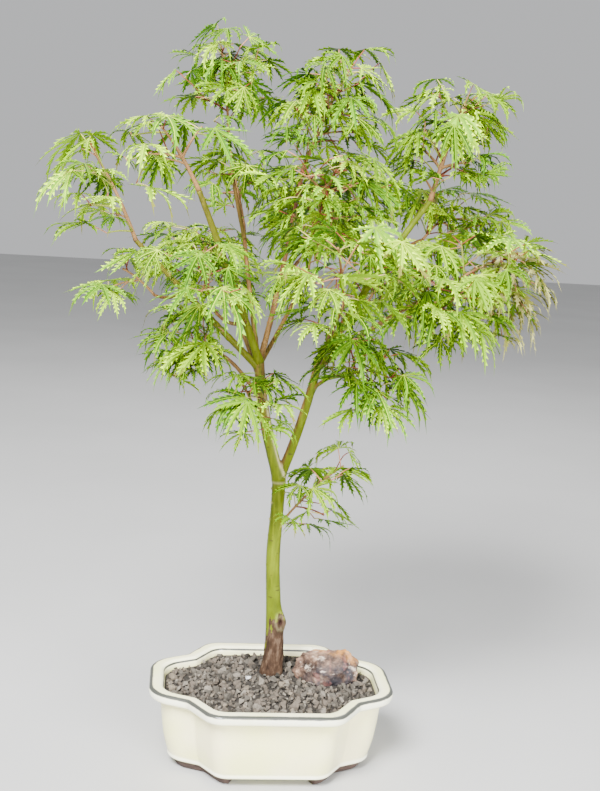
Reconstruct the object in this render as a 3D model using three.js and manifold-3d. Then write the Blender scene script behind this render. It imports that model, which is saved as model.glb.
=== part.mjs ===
// A young green lace-leaf maple grown as a bonsai in a shallow glazed pot.
// Millimetres, +Z up. The plant is laid out about the middle of the pot, with +X to its right and
// +Y to its back, and the whole is then centred on its own box, standing on the four feet.

import * as THREE from "three";
import { mergeVertices } from "three/addons/utils/BufferGeometryUtils.js";
import Module from "manifold-3d";

const wasm = await Module();
wasm.setup();

// ---- driving dimensions -------------------------------------------------------------------

const GAP = 0.3; // clear space between two pieces that meet
const SLIVER = 0.06; // edges shorter than this, left by joins and cuts, are drawn together
const NEEDLE = 0.01; // facets lower than this are turned away

const POT = { width: 205, depth: 157, height: 70, foot: 8, floor: 7 };
const CORNER_STEPS = 2; // facets of each rounded corner of the pot

// One quarter of the rim: front shoulder, hollow corner, side shoulder, each with its radius.
const RIM_CORNERS = [
  { x: POT.width / 2, y: 34, radius: 26 },
  { x: 71, y: 49, radius: 7 },
  { x: 52, y: POT.depth / 2, radius: 18 },
];

// The pot's section from its underside, round the lip, to its floor: inset from the rim, height.
const POT_SECTION = [
  [20, POT.foot],
  [17, POT.foot + 1.2],
  [17.4, POT.foot + 3.6],
  [13, 28],
  [9.3, POT.height - 11],
  [0.8, POT.height - 7.5],
  [0, POT.height - 2],
  [1.8, POT.height],
  [10.6, POT.height],
  [13, POT.height - 3],
  [16, 32],
  [23, POT.foot + POT.floor],
];

// The feet: how far round the corner they run, and their outer and inner insets from the rim.
const FOOT = { startX: 46, startY: 24, ground: [25, 37], top: [21.5, 38] };

const GRAVEL = { edge: 63.5, mound: 2.5, moundSpread: 45, bump: 1.4, inset: 13.6, rings: [1, 0.7, 0.4] };
const GROUND = 66; // where the trunk is cut flat, on top of the gravel

const STONE = { at: [50, 14, 71], half: [27, 19, 21], turn: -0.12, rough: 0.2 };

// The trunk: points along it, with its radius there.
const TRUNK = [
  { at: [1.9, 26, GROUND], radius: 10.3 },
  { at: [3.1, 26, GROUND + 9], radius: 9.2 },
  { at: [3.6, 25.5, GROUND + 26], radius: 8.1 },
  { at: [2.4, 25, GROUND + 46], radius: 7.3 },
  { at: [0.7, 24.5, GROUND + 64], radius: 6.3 },
  { at: [-2, 22, GROUND + 104], radius: 5.9 },
  { at: [-1, 20, GROUND + 148], radius: 5.5 },
  { at: [-1, 18, GROUND + 174], radius: 5.7 },
];
const KNOT = { height: GROUND + 46, angle: -0.25, rise: 3, tall: 8, wide: 0.75 };
const TRUNK_SIDES = 9;

// Limbs and boughs: where each forks from its parent, a point half way, its tip, and its radii.
const LIMBS = [
  limb("limb_left", "trunk", 1, [-16, 17, 292], [-23, 15, 339], 5.2, 4.2),
  limb("limb_right", "trunk", 1, [13, 11, 287], [24, 0, 341], 4.2, 3.4),
  limb("bough_left_top", "limb_left", 0.99, [-55, -5, 418], [-79, -20, 475], 3.4, 2.1),
  limb("bough_left", "limb_left", 0.93, [-78, 5, 386], [-126, -15, 434], 2.9, 1.8),
  limb("bough_middle", "limb_left", 1, [-9, 26, 405], [4, 22, 496], 2.6, 1.6),
  limb("bough_upper_left", "limb_left", 0.9, [-34, 38, 402], [-40, 46, 448], 2.2, 1.5),
  limb("bough_top_left", "bough_upper_left", 0.85, [-50, 44, 482], [-55, 45, 514], 1.6, 1.2),
  limb("bough_back_left", "limb_left", 0.8, [-38, 45, 362], [-54, 76, 392], 2, 1.3),
  limb("bough_back", "limb_left", 0.97, [0, 55, 372], [20, 84, 411], 2, 1.3),
  limb("bough_left_mid", "bough_left", 0.6, [-98, -12, 391], [-110, -22, 393], 1.5, 1.1),
  limb("bough_front_left", "bough_left_top", 0.2, [-50, -22, 374], [-64, -46, 386], 1.8, 1.2),
  limb("bough_centre", "bough_middle", 0.45, [-3, -12, 418], [6, -38, 434], 1.7, 1.2),
  limb("bough_low_left", "limb_left", 0.62, [-42, 13, 334], [-60, 10, 346], 1.8, 1.2),
  limb("bough_low_front", "limb_left", 0.38, [-24, 3, 301], [-29, -8, 306], 1.6, 1.1),
  limb("bough_upper_right", "limb_right", 1, [72, 32, 414], [114, 40, 477], 3.2, 2.4),
  limb("bough_right", "limb_right", 0.96, [70, -4, 376], [116, -10, 405], 2.1, 1.5),
  limb("bough_back_right", "limb_right", 0.9, [45, 40, 361], [70, 74, 381], 2, 1.3),
  limb("bough_front", "limb_right", 0.99, [30, -36, 376], [32, -72, 398], 2, 1.3),
  limb("bough_low_right", "limb_right", 0.8, [34, -8, 332], [44, -20, 334], 1.6, 1.1),
  limb("bough_right_mid", "bough_right", 0.62, [88, -18, 386], [96, -34, 385], 1.4, 1.1),
  limb("bough_right_back", "bough_upper_right", 0.5, [98, 60, 434], [118, 80, 443], 1.8, 1.3),
];

// Masses of foliage: the limb that bears each, the tip of its main stem, how far it reaches
// from the middle of that stem, and its seed.
const MASSES = [
  mass("left_tip", "bough_left", [-166, -24, 512], 78, 340),
  mass("left_mid", "bough_left_mid", [-146, -34, 422], 84, 309),
  mass("left_top", "bough_left_top", [-118, -25, 534], 90, 191),
  mass("front_left", "bough_front_left", [-84, -84, 436], 86, 111),
  mass("upper_left", "bough_upper_left", [-54, 78, 508], 86, 11),
  mass("top_left", "bough_top_left", [-68, 32, 604], 88, 195),
  mass("top_middle", "bough_middle", [42, 12, 590], 90, 78),
  mass("centre", "bough_centre", [26, -58, 512], 86, 164),
  mass("upper_right", "bough_upper_right", [140, 34, 572], 88, 344),
  mass("right_tip", "bough_right", [192, -24, 448], 88, 188),
  mass("right_mid", "bough_right_mid", [114, -66, 426], 84, 150),
  mass("right_back", "bough_right_back", [160, 104, 480], 84, 197),
  mass("front", "bough_front", [16, -128, 452], 86, 178),
  mass("low_right", "bough_low_right", [64, -58, 350], 74, 112),
  mass("low_left", "bough_low_left", [-92, -8, 358], 84, 355),
  mass("low_front", "bough_low_front", [-42, -42, 336], 74, 306),
  mass("back", "bough_back", [38, 140, 500], 88, 219),
  mass("back_left", "bough_back_left", [-86, 132, 450], 86, 163),
  mass("back_right", "bough_back_right", [120, 140, 434], 86, 360),
  mass("low_sprig", "trunk", [60, -2, 268], 56, 250),
];
const SPRIG_NODE = 0.79; // share of the trunk's length where the low sprig leaves it

// The rule by which every mass grows.
const GROWTH = {
  internode: 27, // distance between two pairs of buds on the main stem
  stemRise: 0.12, // how far the stem arches up, as a share of its length
  sideShoot: 30, // length of a side shoot
  lastBuds: 3, // distance of the last pair of buds from the end
  petiole: 15, // length of a leaf's stalk
  leaf: 45, // length of a leaf's middle lobe
  overlap: 0.8, // how far apart two leaves stay, as a share of the room their lobes need
  tries: 14, // places tried for a leaf before it is left out
  margin: 0.6, // distance kept from the space's walls
};
// Leaf stalks, and the tips of the twigs that bear them.
const STALK = { rootRadius: 0.35, clearOfAxis: 0.25, sunk: 0.8, twigTip: 0.65, stemTip: 0.75 };

// A leaf's seven lobes: angle from the middle one, in degrees, and length as a share of it.
const LOBES = [
  { angle: -102, length: 0.5 },
  { angle: -64, length: 0.78 },
  { angle: -29, length: 0.94 },
  { angle: 0, length: 1 },
  { angle: 29, length: 0.94 },
  { angle: 64, length: 0.78 },
  { angle: 102, length: 0.5 },
];
// Where a lobe is tested for touching something: shares of its length, and the room it needs
// on each side there, as a share of the leaf's length.
const LOBE_ROOM = [
  [0.2, 0.06],
  [0.4, 0.1],
  [0.6, 0.1],
  [0.8, 0.07],
  [1, 0.03],
];
const LOBE = { notch: 0.16, widest: 0.5, halfWidth: 0.09, hub: 0.022 };

const BACK = { angle: 135, notch: 0.025 }; // the notch on each side of the stalk

const COLOURS = {
  glaze: 0xe9e8cc,
  clay: 0x5a4038,
  gravel: 0x8b877e,
  stone: 0x8d7365,
  bark: 0x93a53c,
  leaf: 0x86b948,
};

function limb(name, parent, fork, via, tip, baseRadius, tipRadius) {
  return { name, parent, fork, via, tip, baseRadius, tipRadius };
}

function mass(name, bearer, tip, reach, seed) {
  return { name, bearer, tip, reach, seed };
}

// ---- small helpers ------------------------------------------------------------------------

const vec = (xyz) => new THREE.Vector3(...xyz);
const UP = new THREE.Vector3(0, 0, 1);

// The same numbers for the same seed, from 0 to 1.
function seeded(seed) {
  let state = seed * 7919 + 17;
  return () => {
    state = (state * 16807) % 2147483647;
    return state / 2147483647;
  };
}

const mix = (a, b, t) => a + (b - a) * t;

// A closed surface through rings of equally many points. Convex rings are shut by a fan of
// facets at each end, and level ones may be of any outline.
function loft(rings, level = false) {
  const count = rings[0].length;
  const lastRing = (rings.length - 1) * count;
  const faces = [];
  for (let i = 0; i < count; i++) {
    const next = (i + 1) % count;
    for (let a = 0; a < lastRing; a += count) {
      const b = a + count;
      faces.push(a + i, a + next, b + next, a + i, b + next, b + i);
    }
  }
  const flat = (ring) => ring.map((p) => new THREE.Vector2(p.x, p.y));
  const fan = (ring) => ring.slice(2).map((_, i) => [0, i + 1, i + 2]);
  const cap = level ? (ring) => THREE.ShapeUtils.triangulateShape(flat(ring), []) : fan;
  for (const [a, b, c] of cap(rings[0])) faces.push(c, b, a);
  for (const [a, b, c] of cap(rings.at(-1))) faces.push(lastRing + a, lastRing + b, lastRing + c);
  return new THREE.BufferGeometry().setFromPoints(rings.flat()).setIndex(faces);
}

function solidOf(geometry) {
  const bare = geometry.clone();
  for (const name of Object.keys(bare.attributes)) {
    if (name !== "position") bare.deleteAttribute(name);
  }
  const merged = mergeVertices(bare, 1e-4);
  const mesh = new wasm.Mesh({
    numProp: 3,
    vertProperties: new Float32Array(merged.attributes.position.array),
    triVerts: new Uint32Array(merged.index.array),
  });
  return new wasm.Manifold(mesh);
}

function geometryOf(solid) {
  const { vertProperties, triVerts } = solid.getMesh();
  const points = [];
  const faces = [];
  for (let i = 0; i < vertProperties.length; i += 3) {
    points.push(new THREE.Vector3().fromArray(vertProperties, i));
  }
  for (let i = 0; i < triVerts.length; i += 3) faces.push([...triVerts.slice(i, i + 3)]);
  const mended = withoutNeedles(points, faces);
  return new THREE.BufferGeometry().setFromPoints(points).setIndex(mended.flat());
}

// The faces of a closed surface once the edges shorter than SLIVER are drawn together, and the
// longest edge of each facet lower than NEEDLE is turned to join the two corners beside it.
function withoutNeedles(points, allFaces) {
  let faces = allFaces;
  const linked = (p) => new Set(faces.filter((face) => face.includes(p)).flat());
  const turns = ([a, b, c]) => [[a, b, c], [b, c, a], [c, a, b]];
  const beside = (from, to) => {
    for (const face of faces) {
      const turn = turns(face).find(([a, b]) => a === from && b === to);
      if (turn) return { face, corner: turn[2] };
    }
    return null;
  };

  function draw(p, q) {
    const besideQ = linked(q);
    const shared = [...linked(p)].filter((x) => x !== p && x !== q && besideQ.has(x));
    if (shared.length !== 2) return false;
    points[p].lerp(points[q], 0.5);
    faces = faces.map((face) => face.map((x) => (x === q ? p : x)));
    faces = faces.filter(([a, b, c]) => a !== b && b !== c && c !== a);
    return true;
  }

  function turn(face, [p, q, r]) {
    const other = beside(q, p);
    if (linked(r).has(other.corner)) return false;
    faces = faces.filter((one) => one !== face && one !== other.face);
    faces.push([p, other.corner, r], [other.corner, q, r]);
    return true;
  }

  function mend(face) {
    const edges = turns(face).map((corners) => {
      return { corners, length: points[corners[0]].distanceTo(points[corners[1]]) };
    });
    edges.sort((one, other) => one.length - other.length);
    if (edges[0].length < SLIVER) return draw(...edges[0].corners.slice(0, 2));
    const [p, q, r] = edges[2].corners.map((corner) => points[corner]);
    const side = q.clone().sub(p);
    const height = r.clone().sub(p).cross(side).length() / side.length();
    return height < NEEDLE && turn(face, edges[2].corners);
  }

  for (let round = 0; round < faces.length && faces.some(mend); round++);
  return faces;
}

// The largest piece of a solid, its faces merged across old joins and its slivers dropped.
function tidy(solid) {
  const merged = solid.asOriginal().simplify(SLIVER);
  return merged.decompose().reduce((best, one) => (one.volume() > best.volume() ? one : best));
}

// A round tapering tube along a curve, with flat ends. extra widens it and pushes out its ends.
function tube(curve, radiusAt, steps, sides, extra = 0) {
  const frames = curve.computeFrenetFrames(steps, false);
  const rings = [];
  for (let k = 0; k <= steps; k++) {
    const centre = curve.getPointAt(k / steps);
    if (k === 0) centre.addScaledVector(frames.tangents[0], -extra);
    if (k === steps) centre.addScaledVector(frames.tangents[steps], extra);
    const ring = [];
    for (let i = 0; i < sides; i++) {
      const angle = (2 * Math.PI * i) / sides;
      const radius = radiusAt(k / steps, angle) + extra;
      ring.push(
        centre
          .clone()
          .addScaledVector(frames.normals[k], radius * Math.cos(angle))
          .addScaledVector(frames.binormals[k], radius * Math.sin(angle)),
      );
    }
    rings.push(ring);
  }
  return loft(rings);
}

// ---- pot, feet, gravel and stone ----------------------------------------------------------

// The rim's outline, anticlockwise: straight sides with rounded shoulders and hollow corners.
function rimOutline() {
  const quarter = RIM_CORNERS;
  const mirrored = (signX, signY) =>
    quarter.map((c) => ({ at: new THREE.Vector2(signX * c.x, signY * c.y), radius: c.radius }));
  const corners = [
    ...mirrored(1, 1),
    ...mirrored(-1, 1).reverse(),
    ...mirrored(-1, -1),
    ...mirrored(1, -1).reverse(),
  ];
  return corners.flatMap((corner, i) => {
    const before = corners.at(i - 1).at;
    const after = corners[(i + 1) % corners.length].at;
    return roundedCorner(before, corner.at, after, corner.radius);
  });
}

function roundedCorner(before, corner, after, radius) {
  const back = before.clone().sub(corner).normalize();
  const on = after.clone().sub(corner).normalize();
  const half = Math.acos(back.dot(on)) / 2;
  const centre = back.clone().add(on).normalize();
  centre.multiplyScalar(radius / Math.sin(half)).add(corner);
  const first = corner.clone().addScaledVector(back, radius / Math.tan(half)).sub(centre);
  const last = corner.clone().addScaledVector(on, radius / Math.tan(half)).sub(centre);
  const sweep = Math.atan2(first.cross(last), first.dot(last));
  const points = [];
  for (let k = 0; k <= CORNER_STEPS; k++) {
    const turned = first.clone().rotateAround(new THREE.Vector2(), (sweep * k) / CORNER_STEPS);
    points.push(turned.add(centre));
  }
  return points;
}

// The outline drawn in evenly by an inset, as a ring at one height.
function ringAt(outline, inset, height) {
  const shrinkX = 1 - inset / (POT.width / 2);
  const shrinkY = 1 - inset / (POT.depth / 2);
  return outline.map((p) => new THREE.Vector3(p.x * shrinkX, p.y * shrinkY, height));
}

function potShell(outline) {
  return loft(POT_SECTION.map(([inset, height]) => ringAt(outline, inset, height)), true);
}

// A corner foot: a bent bar under one hollow corner, drawn in towards the ground.
function foot(outline, signX, signY) {
  const corner = outline.filter((p) => p.x * signX > FOOT.startX && p.y * signY > FOOT.startY);
  const bar = (outside, inside, height) => [
    ...ringAt(corner, outside, height),
    ...ringAt(corner, inside, height).reverse(),
  ];
  return loft([bar(...FOOT.ground, 0), bar(...FOOT.top, POT.foot - GAP)], true);
}

function gravelHeight(x, y) {
  const away = Math.hypot(x - TRUNK[0].at[0], y - TRUNK[0].at[1]);
  return GRAVEL.edge + GRAVEL.mound * Math.exp(-((away / GRAVEL.moundSpread) ** 2));
}

// The filling of the pot: it follows the wall up, and its top is a bed of low bumps.
function gravelBed(outline) {
  const random = seeded(5);
  const walls = [
    [24, POT.foot + POT.floor + GAP],
    [GRAVEL.inset + 3, POT.height - 12],
  ];
  const rings = walls.map(([inset, height]) => ringAt(outline, inset, height));
  const edge = ringAt(outline, GRAVEL.inset + 0.4, 0);
  for (const share of GRAVEL.rings) {
    rings.push(
      edge.map(({ x, y }) => {
        const bump = GRAVEL.bump * (random() - 0.5);
        return new THREE.Vector3(x * share, y * share, gravelHeight(x * share, y * share) + bump);
      }),
    );
  }
  return loft(rings, true);
}

// A rough weathered stone: a dented ball, squashed and flattened on top.
function stoneShape(grow) {
  const random = seeded(3);
  const ball = new THREE.IcosahedronGeometry(1, 2);
  ball.deleteAttribute("normal");
  ball.deleteAttribute("uv");
  const shape = mergeVertices(ball, 1e-4);
  const position = shape.attributes.position;
  const p = new THREE.Vector3();
  for (let i = 0; i < position.count; i++) {
    p.fromBufferAttribute(position, i);
    p.multiplyScalar(1 + STONE.rough * (random() - 0.5));
    p.z = Math.min(p.z, 0.78 + 0.22 * p.x);
    p.multiply(vec(STONE.half));
    p.addScaledVector(p.clone().normalize(), grow);
    position.setXYZ(i, p.x, p.y, p.z);
  }
  return shape.rotateZ(STONE.turn).translate(...STONE.at);
}

// ---- trunk and limbs ----------------------------------------------------------------------

const trunkCurve = new THREE.CatmullRomCurve3(TRUNK.map((t) => vec(t.at)));

function trunkRadius(share, angle) {
  const height = trunkCurve.getPointAt(share).z;
  const above = TRUNK.findIndex((t) => t.at[2] > height);
  const high = TRUNK[above < 0 ? TRUNK.length - 1 : above];
  const low = TRUNK[above < 0 ? TRUNK.length - 1 : above - 1];
  const span = high.at[2] - low.at[2] || 1;
  const plain = mix(low.radius, high.radius, (height - low.at[2]) / span);
  const turn = Math.atan2(Math.sin(angle - KNOT.angle), Math.cos(angle - KNOT.angle));
  const knot = ((height - KNOT.height) / KNOT.tall) ** 2 + (turn / KNOT.wide) ** 2;
  return plain + KNOT.rise * Math.exp(-knot);
}

// The trunk keeps level rings, so its foot is cut flat at ground level.
function trunkShape(extra) {
  const rings = [];
  const steps = 13;
  for (let k = 0; k <= steps; k++) {
    const centre = trunkCurve.getPointAt(k / steps);
    if (k === 0) centre.z -= extra;
    if (k === steps) centre.z += extra;
    const ring = [];
    for (let i = 0; i < TRUNK_SIDES; i++) {
      const angle = (2 * Math.PI * i) / TRUNK_SIDES;
      const radius = trunkRadius(k / steps, angle) + extra;
      ring.push(centre.clone().add(vec([radius * Math.cos(angle), radius * Math.sin(angle), 0])));
    }
    rings.push(ring);
  }
  return loft(rings);
}

// Each limb as a curve from its fork through its half-way point to its tip.
function limbCurves() {
  const curves = new Map([["trunk", trunkCurve]]);
  for (const l of LIMBS) {
    const start = curves.get(l.parent).getPoint(l.fork);
    const tip = vec(l.tip);
    const pull = vec(l.via).multiplyScalar(2).sub(start.clone().add(tip).divideScalar(2));
    curves.set(l.name, new THREE.QuadraticBezierCurve3(start, pull, tip));
  }
  return curves;
}

const curves = limbCurves();

function limbShape(l, extra = 0) {
  const sides = l.baseRadius > 3 ? 7 : 5;
  const radiusAt = (share) => mix(l.baseRadius, l.tipRadius, share);
  return tube(curves.get(l.name), radiusAt, 5, sides, extra);
}

// Trunk and limbs in turn, each cut clear of those before it.
function limbSolids() {
  const made = new Map([["trunk", solidOf(trunkShape(0))]]);
  const widened = [solidOf(trunkShape(GAP))];
  for (const l of LIMBS) {
    const whole = solidOf(limbShape(l));
    const cut = widened.reduce((solid, other) => solid.subtract(other), whole);
    made.set(l.name, tidy(cut));
    widened.push(solidOf(limbShape(l, GAP)));
  }
  return made;
}

// Balls strung along the trunk and limbs, for keeping foliage clear of them.
function limbBalls() {
  const balls = [];
  const string = (curve, radiusAt, steps) => {
    for (let k = 0; k <= steps; k++) {
      balls.push({ centre: curve.getPoint(k / steps), radius: radiusAt(k / steps) });
    }
  };
  string(trunkCurve, (share) => trunkRadius(share, KNOT.angle), 44);
  for (const l of LIMBS) {
    string(curves.get(l.name), (share) => mix(l.baseRadius, l.tipRadius, share), 32);
  }
  return balls;
}

// ---- foliage ------------------------------------------------------------------------------

// A point on a leaf: along a lobe's length, off to its side, and above it.
function leafPoint(leaf, lobe, along, across, above = 0) {
  const angle = THREE.MathUtils.degToRad(lobe.angle);
  const out = leaf.forward.clone().multiplyScalar(Math.cos(angle));
  out.addScaledVector(leaf.side, Math.sin(angle));
  const beside = leaf.forward.clone().multiplyScalar(-Math.sin(angle));
  beside.addScaledVector(leaf.side, Math.cos(angle));
  const length = leaf.length * lobe.length;
  return leaf.hub
    .clone()
    .addScaledVector(out, length * along * (1 - 0.2 * leaf.droop * along))
    .addScaledVector(beside, leaf.length * across)
    .addScaledVector(leaf.normal, leaf.length * above)
    .addScaledVector(UP, -length * leaf.droop * along ** 2);
}

// The corners of a leaf: its hub above and below, each lobe's notch, edges and tip, the
// last notch, and the root of its stalk.
function leafCorners(leaf) {
  const on = (angle, along, across = 0, above = 0) =>
    leafPoint(leaf, { angle, length: 1 }, along, across, above);
  const stalk = leaf.hub.clone().sub(leaf.root).normalize();
  const swing = THREE.MathUtils.radToDeg(Math.atan2(stalk.dot(leaf.side), stalk.dot(leaf.forward)));
  const lobes = LOBES.map((lobe, i) => {
    const half = LOBE.halfWidth * Math.sqrt(lobe.length);
    const between = i > 0 ? (LOBES[i - 1].angle + lobe.angle) / 2 : null;
    return {
      notch: i > 0 ? on(between, LOBE.notch) : on(swing - BACK.angle, BACK.notch),
      left: leafPoint(leaf, lobe, LOBE.widest, -half),
      right: leafPoint(leaf, lobe, LOBE.widest, half),
      tip: leafPoint(leaf, lobe, 1, 0),
    };
  });
  const beside = leaf.side.clone().addScaledVector(stalk, -leaf.side.dot(stalk)).normalize();
  const over = beside.clone().cross(stalk);
  const rim = (direction, reach) => leaf.root.clone().addScaledVector(direction, reach);
  return {
    top: on(0, 0, 0, LOBE.hub),
    bottom: on(0, 0, 0, -LOBE.hub),
    lobes,
    last: on(swing + BACK.angle, BACK.notch),
    root: [
      rim(over, STALK.rootRadius),
      rim(beside, -STALK.rootRadius),
      rim(over, -STALK.rootRadius),
      rim(beside, STALK.rootRadius),
    ],
  };
}

// A leaf with its stalk as one closed surface.
function leafShape(leaf) {
  const { top, bottom, lobes, last, root } = leafCorners(leaf);
  const points = [top, bottom];
  const faces = [];
  lobes.forEach((lobe) => points.push(lobe.notch, lobe.left, lobe.right, lobe.tip));
  points.push(last, ...root);
  lobes.forEach((_, i) => {
    const [notch, left, right, tip, next] = [2, 3, 4, 5, 6].map((n) => n + 4 * i);
    faces.push(0, left, notch, 0, tip, left, 0, right, tip, 0, next, right);
    faces.push(1, notch, left, 1, left, tip, 1, tip, right, 1, right, next);
  });
  const end = 2 + 4 * LOBES.length;
  const hole = [0, 2, 1, end];
  hole.forEach((from, i) => {
    const to = hole[(i + 1) % 4];
    const rootFrom = end + 1 + i;
    const rootTo = end + 1 + ((i + 1) % 4);
    faces.push(from, to, rootTo, from, rootTo, rootFrom);
  });
  faces.push(end + 1, end + 2, end + 3, end + 1, end + 3, end + 4);
  return new THREE.BufferGeometry().setFromPoints(points).setIndex(faces);
}

// The ball that each mass of foliage keeps to, about the middle of its main stem.
const spaces = MASSES.map((m) => {
  const start = curves.get(m.bearer).getPoint(m.bearer === "trunk" ? SPRIG_NODE : 1);
  const tip = vec(m.tip);
  return { ...m, start, tip, centre: start.clone().lerp(tip, 0.5) };
});

// How far a point lies inside a mass's space: its ball, and where balls meet, its own side.
function depthInSpace(own, point) {
  const power = (s) => point.distanceToSquared(s.centre) - s.reach ** 2;
  let depth = own.reach - point.distanceTo(own.centre);
  for (const other of spaces) {
    if (other === own) continue;
    const apart = own.centre.distanceTo(other.centre);
    depth = Math.min(depth, (power(other) - power(own)) / (2 * apart));
  }
  return depth;
}

const balls = limbBalls();
const clearOfLimbs = (point, distance) =>
  balls.every((ball) => point.distanceTo(ball.centre) > ball.radius + distance);

// Grows one mass: a main stem, side shoots in pairs, and leaves in pairs on thin stalks.
function growMass(space) {
  const random = seeded(space.seed);
  const vary = (low, high) => mix(low, high, random());
  const twigs = [];
  const leaves = [];

  const fits = (point, distance) =>
    depthInSpace(space, point) > distance && clearOfLimbs(point, distance);

  // A leaf on its stalk, held out from a bud. The stray grows with every place tried.
  function leafFrom(bud, outward, scale, stray, sunk) {
    const heading = outward.clone().applyAxisAngle(UP, stray * vary(-1, 1));
    heading.z = heading.z * 0.4 + vary(0, 0.5);
    heading.normalize();
    const hub = bud.clone().addScaledVector(heading, GROWTH.petiole * scale * vary(0.8, 1.3));
    const root = bud.clone().addScaledVector(heading, -sunk);
    const turned = heading.clone().applyAxisAngle(UP, vary(-0.5, 0.5));
    const forward = new THREE.Vector3(turned.x, turned.y, 0).normalize();
    const pitch = vary(-0.1, 0.75);
    forward.multiplyScalar(Math.cos(pitch)).addScaledVector(UP, -Math.sin(pitch));
    const side = forward.clone().cross(UP).normalize();
    side.applyAxisAngle(forward, vary(-0.4, 0.4));
    const normal = side.clone().cross(forward);
    const length = GROWTH.leaf * scale * vary(0.85, 1.08);
    return { hub, root, forward, side, normal, length, droop: vary(0.15, 0.5) };
  }

  // Balls along a leaf's lobes, for keeping leaves clear of limbs and of each other.
  function leafBalls(leaf) {
    return LOBES.flatMap((lobe) =>
      LOBE_ROOM.map(([along, room]) => ({
        centre: leafPoint(leaf, lobe, along, 0),
        radius: leaf.length * room,
      })),
    );
  }

  function leafFits(leaf) {
    const { top, bottom, lobes } = leafCorners(leaf);
    const corners = [top, bottom, ...lobes.flatMap((lobe) => Object.values(lobe))];
    if (!corners.every((p) => depthInSpace(space, p) > GROWTH.margin)) return false;
    leaf.balls = leafBalls(leaf);
    return leaf.balls.every(
      (ball) =>
        clearOfLimbs(ball.centre, ball.radius) &&
        leaves.every((other) => apart(ball, other.balls) && apart(ball, other.stalk)),
    );
  }

  const apart = (ball, others) =>
    others.every((other) => {
      return ball.centre.distanceTo(other.centre) > GROWTH.overlap * (ball.radius + other.radius);
    });

  function addLeaf(bud, outward, sunk) {
    for (let n = 0; n < GROWTH.tries; n++) {
      const leaf = leafFrom(bud, outward, 1 - 0.02 * n, 0.5 + 0.12 * n, sunk);
      const middle = bud.clone().lerp(leaf.hub, 0.6);
      if (leafFits(leaf) && fits(middle, 1) && fits(leaf.hub, 1.2)) {
        leaf.stalk = [{ centre: middle, radius: 2 }];
        leaves.push(leaf);
        return;
      }
    }
  }

  // A stem or shoot with a pair of buds at each node, and at its end a leaf of its own.
  function addShoot(start, end, base, tip, nodes, main) {
    const length = start.distanceTo(end);
    const middle = start.clone().lerp(end, 0.5).addScaledVector(UP, GROWTH.stemRise * length);
    const curve = new THREE.QuadraticBezierCurve3(start, middle, end);
    twigs.push({ curve, base, tip, steps: nodes });
    const roll = vary(-0.5, 0.5);
    for (let k = 1; k <= nodes; k++) {
      const bud = curve.getPointAt(k / nodes);
      const along = bud.clone().sub(curve.getPointAt((k - 1) / nodes)).normalize();
      if (k === nodes) bud.addScaledVector(along, -GROWTH.lastBuds);
      const across = along.clone().cross(UP).normalize();
      across.applyAxisAngle(along, main ? roll + (k * Math.PI) / 2 : roll);
      for (const hand of [1, -1]) {
        const outward = across.clone().multiplyScalar(hand).addScaledVector(along, 0.5).normalize();
        const sideTip = bud.clone().addScaledVector(outward, GROWTH.sideShoot * vary(0.8, 1.15));
        const branches = main && k < nodes && fits(sideTip, 10) && fits(bud, 2);
        if (branches) addShoot(bud, sideTip, base * 0.62, STALK.twigTip, 1, false);
        else addLeaf(bud, outward, -STALK.clearOfAxis);
      }
    }
    addLeaf(end, curve.getTangent(1), STALK.sunk);
  }

  const bearer = LIMBS.find((l) => l.name === space.bearer);
  const base = bearer ? bearer.tipRadius * 0.95 : 1.1;
  const length = space.start.distanceTo(space.tip);
  const stemEnd = space.tip.clone().lerp(space.start, GROWTH.petiole / length);
  const nodes = Math.max(2, Math.round((length - GROWTH.petiole) / GROWTH.internode));
  addShoot(space.start, stemEnd, base, STALK.stemTip, nodes, true);
  return { twigs, leaves };
}

// Twigs and leaves fused into one body, cut clear of the limbs.
function massSolid(space, limbs) {
  const { twigs, leaves } = growMass(space);
  let solid = null;
  for (const twig of twigs) {
    const radiusAt = (share) => mix(twig.base, twig.tip, share);
    const piece = solidOf(tube(twig.curve, radiusAt, twig.steps, 3));
    solid = solid ? solid.add(piece) : piece;
  }
  for (const leaf of leaves) {
    const blade = solidOf(leafShape(leaf));
    solid = solid.add(blade);
  }
  return tidy(solid.subtract(limbs));
}

// ---- the whole ----------------------------------------------------------------------------

function material(colour, roughness) {
  return new THREE.MeshStandardMaterial({ color: colour, roughness, metalness: 0, flatShading: true });
}

const finishes = {
  glaze: material(COLOURS.glaze, 0.18),
  clay: material(COLOURS.clay, 0.85),
  gravel: material(COLOURS.gravel, 0.95),
  stone: material(COLOURS.stone, 0.8),
  bark: material(COLOURS.bark, 0.5),
  leaf: material(COLOURS.leaf, 0.5),
};

function node(name, geometry, finish) {
  const mesh = new THREE.Mesh(geometry, finishes[finish]);
  mesh.name = name;
  return mesh;
}

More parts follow.
